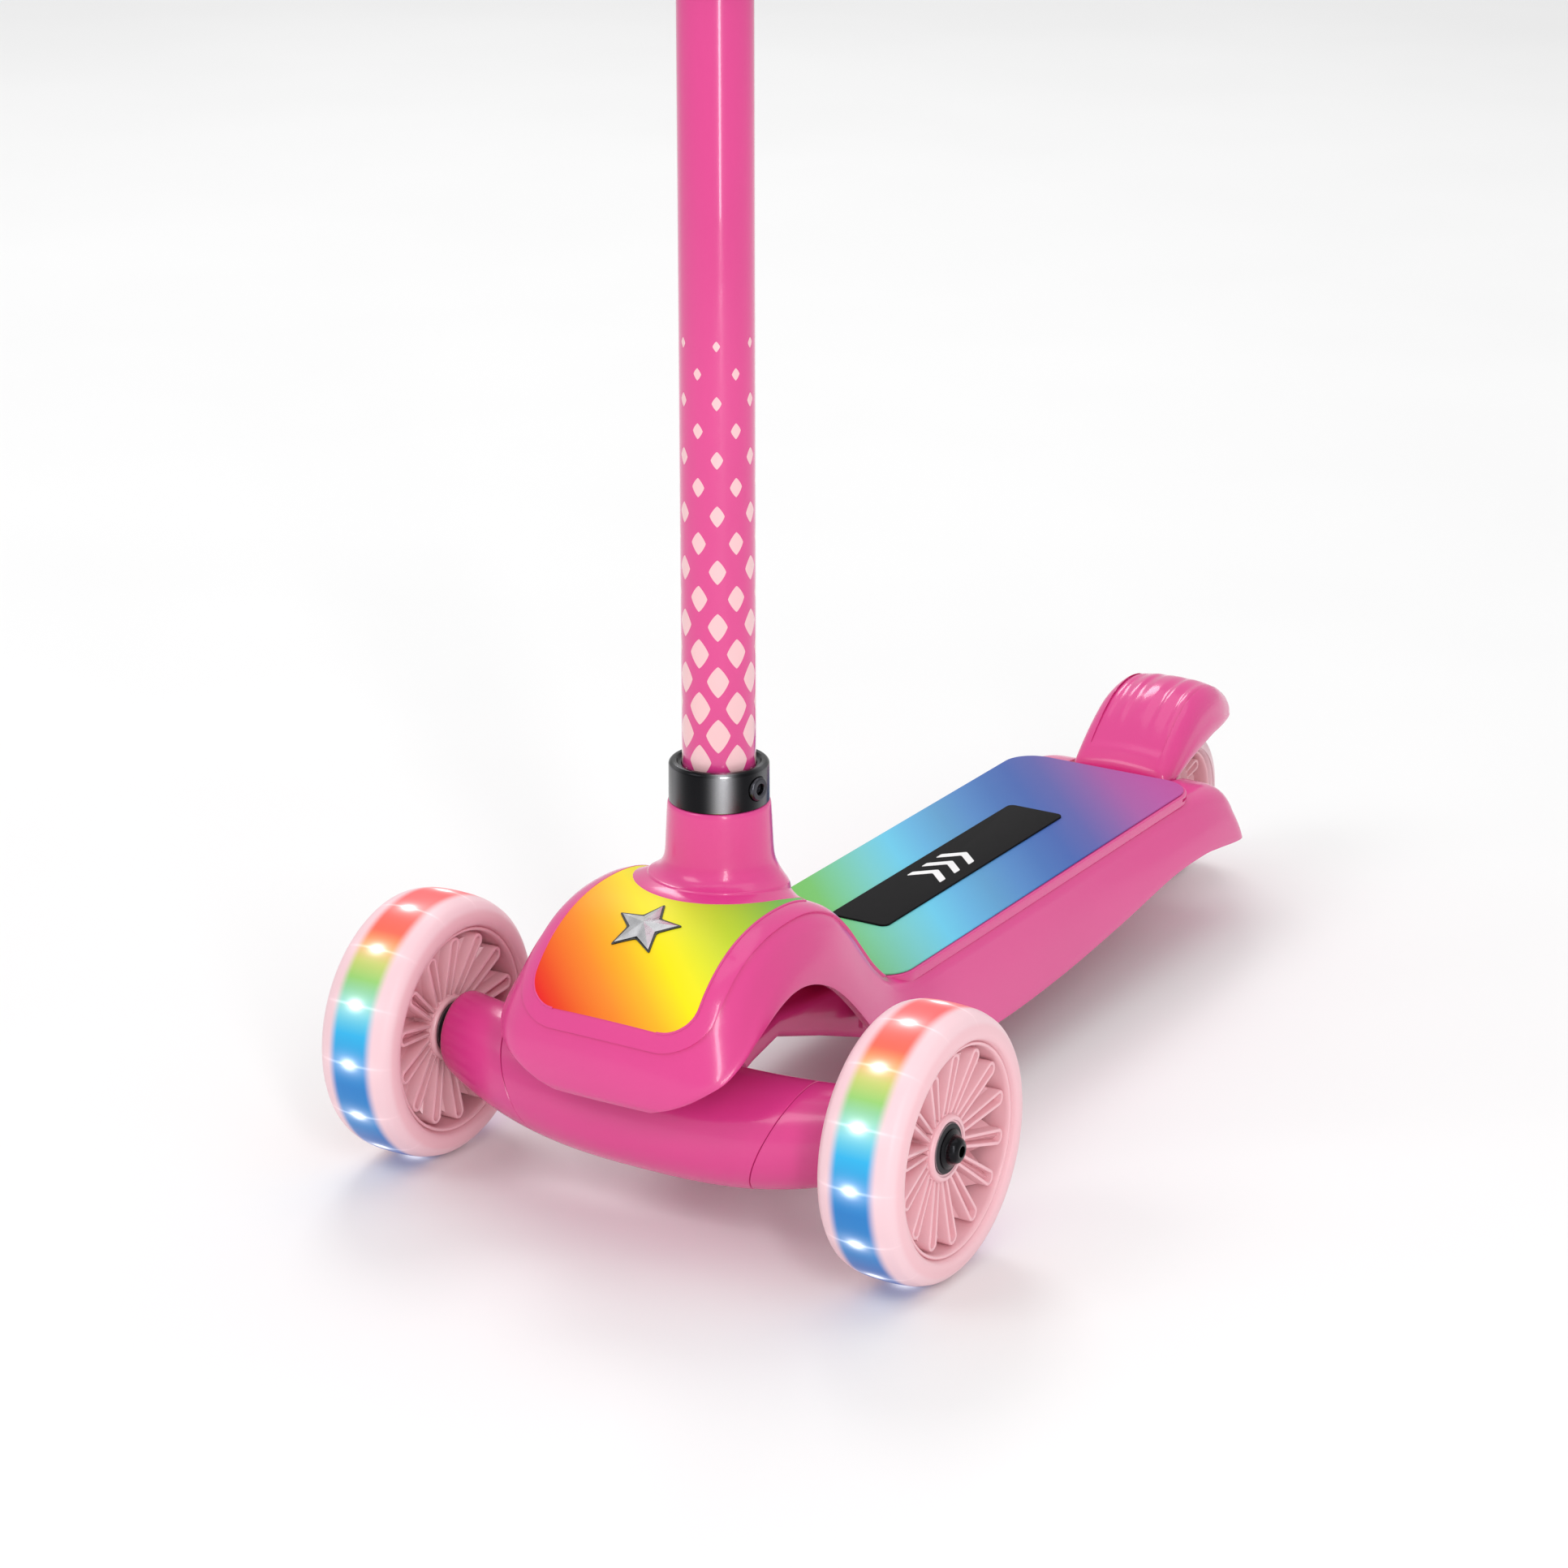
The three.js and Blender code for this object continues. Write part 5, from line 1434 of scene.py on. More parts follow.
class SCOOTER_OT_handlebar(ScooterOperator):
    """Build the sliding tube, the tee, the crossbar, the grips and their caps"""
    bl_idname = "scooter.handlebar"
    bl_label = "Handlebar"

    def build(self, context):
        paint_pink = gloss_paint(context)
        low, high = local_box("upper_stem")
        y = (low.y + high.y) / 2
        tube = turned("upper_stem", tube_profile(12.7, 11.2, low.z, high.z), (0, y, 0), UP,
                      paint_pink, 72, True)
        ready(tube, "handlebar", "pink_paint", "upper_stem")
        plug = filleted([(8, low.z - 4), (13.8, low.z - 4), (13.8, low.z - 0.3),
                         (10.8, low.z - 0.2), (10.8, low.z + 14), (8, low.z + 14)], 0.4, 3)
        ready(turned("guide_plug", plug, (0, y, 0), UP, black_plastic(context), 48, True),
              "handlebar", "black_plastic", "guide_plug")
        bar_low, bar_high = local_box("crossbar")
        z = (bar_low.z + bar_high.z) / 2
        bar = turned("crossbar", tube_profile(11, 9.5, bar_low.x, bar_high.x), (0, y, z),
                     ACROSS, paint_pink, 64, True)
        ready(bar, "handlebar", "pink_paint", "crossbar")
        self.tee(context, y, z)
        self.grips(context, y, z, bar_high.x)

    def tee(self, context, y, z):
        """The moulded joint between the tube and the crossbar, with rolled ends."""
        low, high = local_box("bar_tee")
        pink = pink_plastic(context)
        half = high.x
        sleeve = filleted([(11.3, -half), (15.6, -half), (16.6, -half + 2), (15.9, -half + 4),
                           (15.9, half - 4), (16.6, half - 2), (15.6, half), (11.3, half)],
                          0.8, 3)
        bm = bmesh.new()
        add_turned(bm, sleeve, (0, y, z), ACROSS, 64, True)
        drop = z - low.z
        socket = filleted([(12.95, -drop), (15.4, -drop), (16.4, -drop + 2), (15.7, -drop + 4.5),
                           (15.5, -10), (15.5, -4), (12.95, -4)], 0.8, 3)
        add_turned(bm, socket, (0, y, z), UP, 64, True)
        ready(new_piece("bar_tee", bm, pink), "handlebar", "pink_shell", "bar_tee")
        collar = filleted([(15.2, -13), (17.4, -12.4), (17.8, 0), (17.4, 12.4), (15.2, 13)],
                          1.6, 4)
        ready(turned("tee_band", collar, (0, y, z), ACROSS, pink, 64, True), "handlebar",
              "pink_shell")

    def grips(self, context, y, z, bar_end):
        colours = self.colours(context)
        rubber = satin_plastic("grip_rubber", tuple(colours.grip), 0.7)
        pale = moulded_plastic("cap_plastic", tuple(colours.pale_pink), 0.35, 0.2)
        rings = self.sizes(context).grip_rings
        for side, word in SIDES:
            low, high = local_box(f"grip_{word}")
            start, end = (high.x, low.x) if side < 0 else (low.x, high.x)
            inner = start + side * 5
            profile = filleted([(11.2, start), (20.2, start), (21, start + side * 1.2),
                                (20.2, inner), (14.6, inner + side * 2), (14.2, inner + side * 9),
                                (14.2, end - side * 8), (14.9, end), (11.2, end)], 1.0, 3)
            grip = turned(f"grip_{word}", profile, (0, y, z), ACROSS, rubber, 64, True)
            ready(grip, "handlebar", "grip_rubber", f"grip_{word}")
            ridge = filleted([(14.0, -1.9), (15.4, -1.1), (15.4, 1.1), (14.0, 1.9)], 0.5, 2)
            first = inner + side * 11
            pitch = (end - side * 9 - first) / (rings - 1)
            ridges = turned(f"grip_ridges_{word}", [(r, h + first) for r, h in ridge],
                            (0, y, z), ACROSS, rubber, 48, True)
            repeated(ridges, rings, step=(pitch * MM, 0, 0))
            ready(ridges, "handlebar", "grip_rubber")
            cap_low, cap_high = local_box(f"grip_cap_{word}")
            outer = cap_low.x if side < 0 else cap_high.x
            root = cap_high.x if side < 0 else cap_low.x
            joint = bar_end * side + side * 0.3
            cap = filleted([(0, root), (9, root), (9, joint), (17.2, joint),
                            (18, joint + side * 1.5), (15.5, outer - side * 0.6),
                            (6, outer), (0, outer)], 1.0, 4, False)
            ready(turned(f"grip_cap_{word}", cap, (0, y, z), ACROSS, pale, 64),
                  "handlebar", "pale_cap", f"grip_cap_{word}")


# ------------------------------------------------------------------ front axle

FRONT_RADIUS = 60.0  # of the front wheels, and so the height of their axle
BEAM_END = 108.0


def beam_share(x):
    return 1 - min(abs(x) / BEAM_END, 1) ** 2.64


def beam_ring(x, shrink=0.0, tilt=0.0, sides=56):
    """A ring round the beam. tilt leans the ring, so that a joint line runs slanted."""
    points = []
    for k in range(sides):
        angle = 2 * math.pi * k / sides
        place_x = x + math.copysign(tilt, x) * math.sin(angle)
        share = beam_share(place_x)
        radius = 18.7 + 7.6 * share - shrink
        points.append((place_x, -7.3 * share + radius * math.cos(angle),
                       FRONT_RADIUS - 11.4 * share + radius * math.sin(angle)))
    return points


class SCOOTER_OT_axle(ScooterOperator):
    """Build the axle beam, its arms, the kingpin and the axle bolts"""
    bl_idname = "scooter.axle"
    bl_label = "Front axle"

    JOINT = 64.0
    TILT = 11.0

    def build(self, context):
        pink = pink_plastic(context)
        metal = steel(context)
        dark = graphite(context)
        joint, tilt = self.JOINT, self.TILT
        centre_rings = [beam_ring(-joint, 2.4, tilt), beam_ring(-joint, 0.25, tilt)]
        steps = 44
        for step in range(steps + 1):
            x = -joint + 0.25 + (2 * joint - 0.5) * step / steps
            lean = tilt * abs(x) / joint
            centre_rings.append(beam_ring(x if abs(x) > 0.01 else 0.01, 0.0, lean))
        centre_rings += [beam_ring(joint, 0.25, tilt), beam_ring(joint, 2.4, tilt)]
        beam = loft("axle_beam", centre_rings, pink)
        ready(beam, "truck", "pink_shell", "axle_beam")
        self.arms(pink)
        self.pivot(context, pink, metal)
        for side, word in SIDES:
            self.bolt(context, side, word, dark)

    def arms(self, pink):
        joint, tilt = self.JOINT, self.TILT
        for side, word in SIDES:
            start = side * (joint + 0.3)
            rings = [beam_ring(start, 2.4, tilt), beam_ring(start, 0.3, tilt),
                     beam_ring(start + side * 0.25, 0.05, tilt)]
            steps = 16
            for step in range(1, steps + 1):
                x = start + side * (BEAM_END - 2.5 - joint - 0.3) * step / steps
                rings.append(beam_ring(x, 0.0, tilt * (1 - step / steps)))
            for x, shrink in ((BEAM_END - 1.2, 0.4), (BEAM_END - 0.3, 1.4), (BEAM_END, 2.8),
                              (BEAM_END, 7.0), (BEAM_END - 0.8, 8.0)):
                rings.append(beam_ring(side * x, shrink))
            ready(loft(f"beam_arm_{word}", rings, pink), "truck", "pink_shell",
                  f"beam_arm_{word}")

    def pivot(self, context, pink, metal):
        """The beam's boss, the kingpin and the bushings on either side."""
        point, axis = steering_axis()
        boss = filleted([(5.15, -14), (13, -14), (13, 14), (5.15, 14)], 1.2, 3)
        ready(turned("pivot_boss", boss, point, axis, pink, 56, True), "truck", "pink_shell")
        bm = bmesh.new()
        add_turned(bm, rod_profile(4.9, -33.6, 58), point, axis, 40)
        add_turned(bm, rod_profile(8, -38.6, -33), point, axis, 6)
        ready(new_piece("kingpin", bm, metal), "deck", "steel", "kingpin")
        urethane = satin_plastic("bushing_urethane", tuple(self.colours(context).urethane), 0.45)
        for word, low in (("lower", -20.3), ("upper", 14.3)):
            ring = filleted([(5.4, low), (10.6, low), (11.8, low + 3), (10.6, low + 6),
                             (5.4, low + 6)], 0.8, 3)
            ready(turned(f"{word}_bushing", ring, point, axis, urethane, 48, True), "deck",
                  "urethane", f"{word}_bushing")

    def bolt(self, context, side, word, dark):
        """The domed axle bolt and the spacer behind the hub."""
        low, high = local_box(f"axle_bolt_{word}")
        tip, root = (low.x, high.x) if side < 0 else (high.x, low.x)
        z = local_middle(f"axle_bolt_{word}").z
        face = tip - side * 6.2
        profile = filleted([
            (0, root), (4, root), (4, face), (8.6, face), (8.8, face + side * 1.1),
            (6.4, face + side * 1.7), (6.1, face + side * 3.6), (5.0, face + side * 5.6),
            (3.4, tip), (2.4, tip), (2.4, tip - side * 2.2), (0, tip - side * 2.2)],
            [0, 0.4, 0.2, 0.3, 0.3, 0.4, 1.2, 1.2, 0.4, 0.2, 0.1, 0], 3, False)
        bolt = turned(f"axle_bolt_{word}", profile, (0, 0, z), ACROSS, dark, 48)
        ready(bolt, "truck", "graphite_metal", f"axle_bolt_{word}")
        space_low, space_high = local_box(f"magnet_spacer_{word}")
        ring = tube_profile(9, 4.4, space_low.x, space_high.x)
        ready(turned(f"magnet_spacer_{word}", ring, (0, 0, z), ACROSS, dark, 40, True),
              "truck", "graphite_metal", f"magnet_spacer_{word}")


# ------------------------------------------------------------------ wheels

# Colours round the light band, by degrees up from straight ahead.
BAND_STOPS = [
    (-180, (226, 90, 160)), (-140, (196, 80, 176)), (-100, (130, 90, 180)),
    (-60, (86, 108, 178)), (-42, (62, 112, 182)), (-30, (30, 126, 194)),
    (-10, (16, 118, 190)), (2, (24, 138, 204)), (14, (35, 170, 222)), (22, (104, 196, 214)),
    (30, (130, 200, 170)), (38, (140, 195, 100)), (46, (190, 196, 100)),
    (54, (226, 150, 80)), (62, (231, 96, 74)), (80, (234, 84, 84)), (100, (236, 88, 90)),
    (140, (236, 110, 130)), (180, (226, 90, 160)),
]


def light_tyre(name, colours, centre, count):
    """Cast urethane with a rainbow band, points of light under the tread, and a painted flare
    streak across the tread at each light.
    """
    pale, rim_pink = tuple(colours.pale_pink), tuple(colours.core_pink)
    finish = Finish(name, roughness=0.4, emission_strength=1.0)
    x, y, z = finish.place(place(centre.x, centre.y, centre.z))
    turn = finish.maths("ARCTAN2", z, -y)
    stops, low, high = ramp_stops(BAND_STOPS)
    band_colour = finish.ramp((turn / math.pi * 180 - low) / (high - low), stops)
    off = abs(x) / MM
    radius = finish.maths("SQRT", y * y + z * z) / MM
    tread = finish.step(50.0, 56.0, radius)
    band = (1 - finish.step(7.0, 12.0, off)) * tread
    pitch = 2 * math.pi / count
    phase = math.radians(0.9)
    steps = (turn - phase) / pitch
    arc = abs(steps - finish.maths("ROUND", steps)) * (pitch * centre.z)
    near = finish.maths("EXPONENT", -(arc * arc + off * off * 0.5) / 5.0)
    halo = finish.maths("EXPONENT", -(arc * arc + off * off * 0.3) / 22.0)
    # painted flare streak: a thin white line of glow across the tread at each light, standing in
    # for lens flare
    streak = finish.maths("EXPONENT", -(arc * arc) / 0.4) \
        * finish.maths("EXPONENT", -(off * off) / 110.0)
    # shine: the lights and their halos, together with the painted flare streaks
    shine = finish.maths("MINIMUM", (near * 1.4 + halo * 0.3 + streak * 0.4) * tread, 1.0)
    milky = finish.noise(22.0, 2.0)
    body = finish.mix(milky, shade_of(pale, 0.96), shade_of(pale, 1.02))
    side = (1 - finish.step(53.0, 55.5, radius)) * finish.step(10.0, 14.0, off)
    body = finish.mix(side * 0.7, body, rim_pink)
    base = finish.mix(band, body, band_colour)
    glow = finish.mix(band * 0.12, (0, 0, 0, 1), band_colour)
    glow = finish.mix(shine, glow, (1.0, 1.0, 1.0, 1))
    finish.bump(finish.noise(700.0, 2.0), 0.00005, 0.5)
    return finish.paint(base_color=base, emission_color=glow,
                        roughness=0.36 + milky * 0.1)


def tyre_profile(radius, half, rim):
    """Closed profile of a tyre: crowned tread, round shoulders, a step round the rim."""
    outer = [
        (radius, 0), (radius - 0.15, half * 0.3), (radius - 0.7, half * 0.55),
        (radius - 2.4, half * 0.8), (radius - 5.6, half * 0.95), (radius - 9.0, half),
        (rim + 3.0, half), (rim + 1.6, half - 0.8), (rim + 0.8, half - 3.2), (rim, half - 4.0),
    ]
    other = [(r, -x) for r, x in reversed(outer[1:])]
    return filleted(outer + other, 1.6, 3)


def hub_slope(radius, hub):
    """How far the ribs and webs sink as they near the hub."""
    return 4.6 * (1 - smoothstep(hub - 1, hub + 11, radius))


def add_loop_rib(bm, hub, rim, half):
    """A hollow-topped rib on one face, standing up from the wheel's centre."""
    root, tip = 2.7, 3.7
    wall, groove, depth = 1.7, 5.0, 10.5
    end = rim - 1.2 - tip
    outline = [(-root, hub - 1.0), (-root / 3, hub - 1.2), (root / 3, hub - 1.2), (root, hub - 1.0)]
    outline += [(tip * math.cos(a), end + tip * math.sin(a))
                for a in [math.pi * step / 10 for step in range(11)]]

    def at(distance, height):
        return [(height - hub_slope(r, hub), -t, r) for t, r in grown(outline, -distance)]

    rings = [at(0, half - depth), at(0, half - 0.7), at(0.25, half - 0.2), at(0.7, half),
             at(wall - 0.4, half), at(wall - 0.1, half - 0.3), at(wall + 0.2, half - groove)]
    add_loft(bm, rings, put=origin_point)


def add_web(bm, hub, rim, half, pitch):
    """The two facets that dip from a rib to the valley between it and the next rib."""
    rings = []
    steps = 8
    for step in range(steps + 1):
        across = step / steps
        dip = 1 - abs(2 * across - 1)
        height = half - 1.6 - 9.0 * dip
        outer = rim - 1.0 - (rim - hub) * 0.26 * dip
        ring = []
        for radius, lift in ((hub - 1.0, 0), (outer, 0), (outer, -2.4), (hub - 1.0, -2.4)):
            turn = pitch * across
            ring.append((height + lift - hub_slope(radius, hub), -radius * math.sin(turn),
                         radius * math.cos(turn)))
        rings.append(ring)
    add_loft(bm, rings, put=origin_point)


def wheel_core(name, centre, hub, rim, half, hub_half, count, material, steps):
    """The moulded core: rim ring, hub, middle wall, and grooved ribs on both faces."""
    bm = bmesh.new()
    face = half - 1.8
    add_loop_rib(bm, hub, rim - 1.6, face)
    add_web(bm, hub, rim - 1.6, face, 2 * math.pi / count)
    flip = Matrix.Rotation(math.pi, 4, "Z")
    other = bm.copy()
    other.transform(flip)
    both = bpy.data.meshes.new("face")
    other.to_mesh(both)
    other.free()
    bm.from_mesh(both)
    bpy.data.meshes.remove(both)
    spokes = new_piece(f"{name}_ribs", bm, material, sharp=math.radians(30))
    repeated(spokes, count, turn=(2 * math.pi / count, 0, 0),
             centre=tuple(place(centre.x, centre.y, centre.z)))
    bm = bmesh.new()
    ring = filleted([(rim, -half), (rim, half), (rim - 1.2, half), (rim - 1.8, half - 1.5),
                     (rim - 2.6, 0), (rim - 1.8, -half + 1.5), (rim - 1.2, -half)], 0.7, 3)
    add_turned(bm, ring, centre, ACROSS, steps, True)
    ridge = filleted([(hub, -hub_half + 1.2), (hub, hub_half - 1.2), (hub - 0.9, hub_half),
                      (hub - 2.4, hub_half), (hub - 2.6, hub_half - 0.8), (11.3, hub_half - 0.8),
                      (11.2, -hub_half + 0.8), (hub - 2.6, -hub_half + 0.8),
                      (hub - 2.4, -hub_half), (hub - 0.9, -hub_half)], 0.35, 2)
    add_turned(bm, ridge, centre, ACROSS, 64, True)
    wall = [(hub - 1.5, -1.4), (rim - 1.0, -1.4), (rim - 1.0, 1.4), (hub - 1.5, 1.4)]
    add_turned(bm, wall, centre, ACROSS, steps, True)
    core = new_piece(name, bm, material)
    return core, spokes


def bearing_piece(name, low, high, centre, face_side, seal, material):
    """A ball bearing: two steel rings, and the black dust cover over its outer face."""
    bm = bmesh.new()
    middle = (low + high) / 2
    half = (high - low) / 2
    profile = filleted([(4.15, -half), (6.2, -half), (6.5, -half + 0.5), (9.3, -half + 0.5),
                        (9.6, -half), (11.0, -half), (11.0, half), (9.6, half),
                        (9.3, half - 0.5), (6.5, half - 0.5), (6.2, half), (4.15, half)], 0.2, 2)
    add_turned(bm, profile, (middle, centre.y, centre.z), ACROSS, 48, True)
    ring = new_piece(name, bm, material)
    face = high if face_side > 0 else low
    shield = filleted([(4.3, face - face_side * 0.6), (10.9, face - face_side * 0.6),
                       (10.9, face + face_side * 0.1), (9.8, face + face_side * 0.5),
                       (4.3, face + face_side * 0.5)], 0.15, 2)
    cover = turned(f"{name}_seal", shield, (0, centre.y, centre.z), ACROSS, seal, 48, True)
    return ring, cover


class SCOOTER_OT_front_wheels(ScooterOperator):
    """Build both front wheels: tyre, spoked core, light ring and bearings"""
    bl_idname = "scooter.front_wheels"
    bl_label = "Front wheels"

    def build(self, context):
        colours, sizes = self.colours(context), self.sizes(context)
        core_pink = core_plastic(context)
        metal = steel(context)
        seal = black_plastic(context)
        glass = Finish("light_ring", roughness=0.15, emission_strength=0.4)
        glass.paint(base_color=glass.mix(glass.noise(50.0), colour(220, 235, 245),
                                         colour(245, 250, 255)),
                    emission_color=(0.8, 0.9, 1.0, 1))
        for side, word in SIDES:
            body = f"front_wheel_{word}"
            low, high = local_box(f"front_tyre_{word}")
            centre = Vector(((low.x + high.x) / 2, 0, FRONT_RADIUS))
            half = (high.x - low.x) / 2
            finish = light_tyre(f"light_tyre_{word}", colours, centre, sizes.light_count)
            tyre = turned(f"front_tyre_{word}", tyre_profile(FRONT_RADIUS, half, 46.0), centre,
                          ACROSS, finish, 128, True)
            ready(tyre, body, "pale_tyre", f"front_tyre_{word}")
            core, spokes = wheel_core(
                f"front_core_{word}", centre, 14.7, 46.4, half - 2.2, 13.2,
                sizes.spoke_count, core_pink, 112)
            ready(core, body, "wheel_core", f"front_core_{word}")
            ready(spokes, body, "wheel_core")
            ring = tube_profile(50.0, 46.6, -11, 11)
            light = turned(f"light_ring_{word}", ring, centre, ACROSS, glass.material, 64,
                           True)
            ready(light, body, "light_band", f"light_ring_{word}")
            for place_word in ("inner", "outer"):
                node = f"front_{word}_bearing_{place_word}"
                box_low, box_high = local_box(node)
                facing = side if place_word == "outer" else -side
                bearing, cover = bearing_piece(node, box_low.x, box_high.x, centre, facing,
                                               seal, metal)
                ready(bearing, body, "steel", node)
                ready(cover, body, "black_plastic")


class SCOOTER_OT_rear_wheel(ScooterOperator):
    """Build the rear wheel and its axle"""
    bl_idname = "scooter.rear_wheel"
    bl_label = "Rear wheel"

    def build(self, context):
        colours, sizes = self.colours(context), self.sizes(context)
        core_pink = core_plastic(context)
        metal = steel(context)
        seal = black_plastic(context)
        low, high = local_box("rear_tyre")
        centre = Vector((0, (low.y + high.y) / 2, (low.z + high.z) / 2))
        radius, half = (high.z - low.z) / 2, (high.x - low.x) / 2
        pale = satin_plastic("pale_urethane", tuple(colours.pale_pink), 0.4)
        tyre = turned("rear_tyre", tyre_profile(radius, half, 29.0), centre, ACROSS, pale,
                      96, True)
        ready(tyre, "rear_wheel", "pale_tyre", "rear_tyre")
        core, spokes = wheel_core("rear_core", centre, 13.5, 29.4, half - 2.0, half,
                                  sizes.rear_spoke_count, core_pink, 80)
        ready(core, "rear_wheel", "wheel_core", "rear_core")
        ready(spokes, "rear_wheel", "wheel_core")
        for side, word in SIDES:
            node = f"rear_bearing_{word}"
            box_low, box_high = local_box(node)
            bearing, cover = bearing_piece(node, box_low.x, box_high.x, centre, side, seal,
                                           metal)
            ready(bearing, "rear_wheel", "steel", node)
            ready(cover, "rear_wheel", "black_plastic")
            box_low, box_high = local_box(f"rear_spacer_{word}")
            ring = tube_profile(6.5, 4.3, box_low.x, box_high.x)
            ready(turned(f"rear_spacer_{word}", ring, (0, centre.y, centre.z), ACROSS,
                         metal, 40, True), "deck", "steel", f"rear_spacer_{word}")
        self.axle(centre, metal)

    def axle(self, centre, metal):
        low, high = local_box("rear_axle")
        head = filleted([(0, low.x), (4, low.x), (4, high.x - 4.5), (6.5, high.x - 4.5),
                         (6.5, high.x - 1.2), (5.6, high.x), (2.6, high.x),
                         (2.6, high.x - 2.6), (0, high.x - 2.6)],
                        [0, 0.5, 0.1, 0.2, 0.6, 0.5, 0.2, 0.1, 0], 3, False)
        ready(turned("rear_axle", head, (0, centre.y, centre.z), ACROSS, metal, 48),
              "deck", "steel", "rear_axle")
        low, high = local_box("rear_axle_nut")
        nut = plate("rear_axle_nut", hexagon(6.8, 0, 0.6), low.x, high.x, 0.6, metal,
                    put=lambda u, v, h: place(h, centre.y + u, centre.z + v))
        ready(nut, "deck", "steel", "rear_axle_nut")


# ------------------------------------------------------------------ brake

# Stations of the brake pedal: outline (y, z), hem (y, z), half width, shoulder radius.
PEDAL_STATIONS = [
    (426.6, 69.0, 427.2, 64.0, 26.2, 4),
    (425.9, 73.0, 426.6, 65.6, 26.6, 5),
    (427.0, 77.4, 428.0, 66.6, 27.0, 7),
    (430.0, 81.0, 430.6, 67.8, 27.4, 8),
    (438.0, 89.4, 440, 72.0, 27.8, 10),
    (448.0, 98.4, 451, 76.4, 28.0, 12),
    (458.0, 105.0, 461, 79.4, 28.0, 13),
    (468.0, 108.8, 471, 81.6, 27.8, 14),
    (479.0, 110.0, 480, 83.2, 27.4, 14),
    (490.0, 108.4, 490, 83.8, 26.6, 14),
    (500.6, 103.6, 499.6, 84.0, 25.0, 13),
    (510.2, 96.8, 508.4, 83.6, 22.4, 11),
    (517.4, 89.8, 514.4, 82.6, 18.4, 6),
    (521.8, 84.8, 518.5, 81.6, 13.6, 3),
    (523.6, 81.8, 520.4, 80.8, 10.0, 1),
]


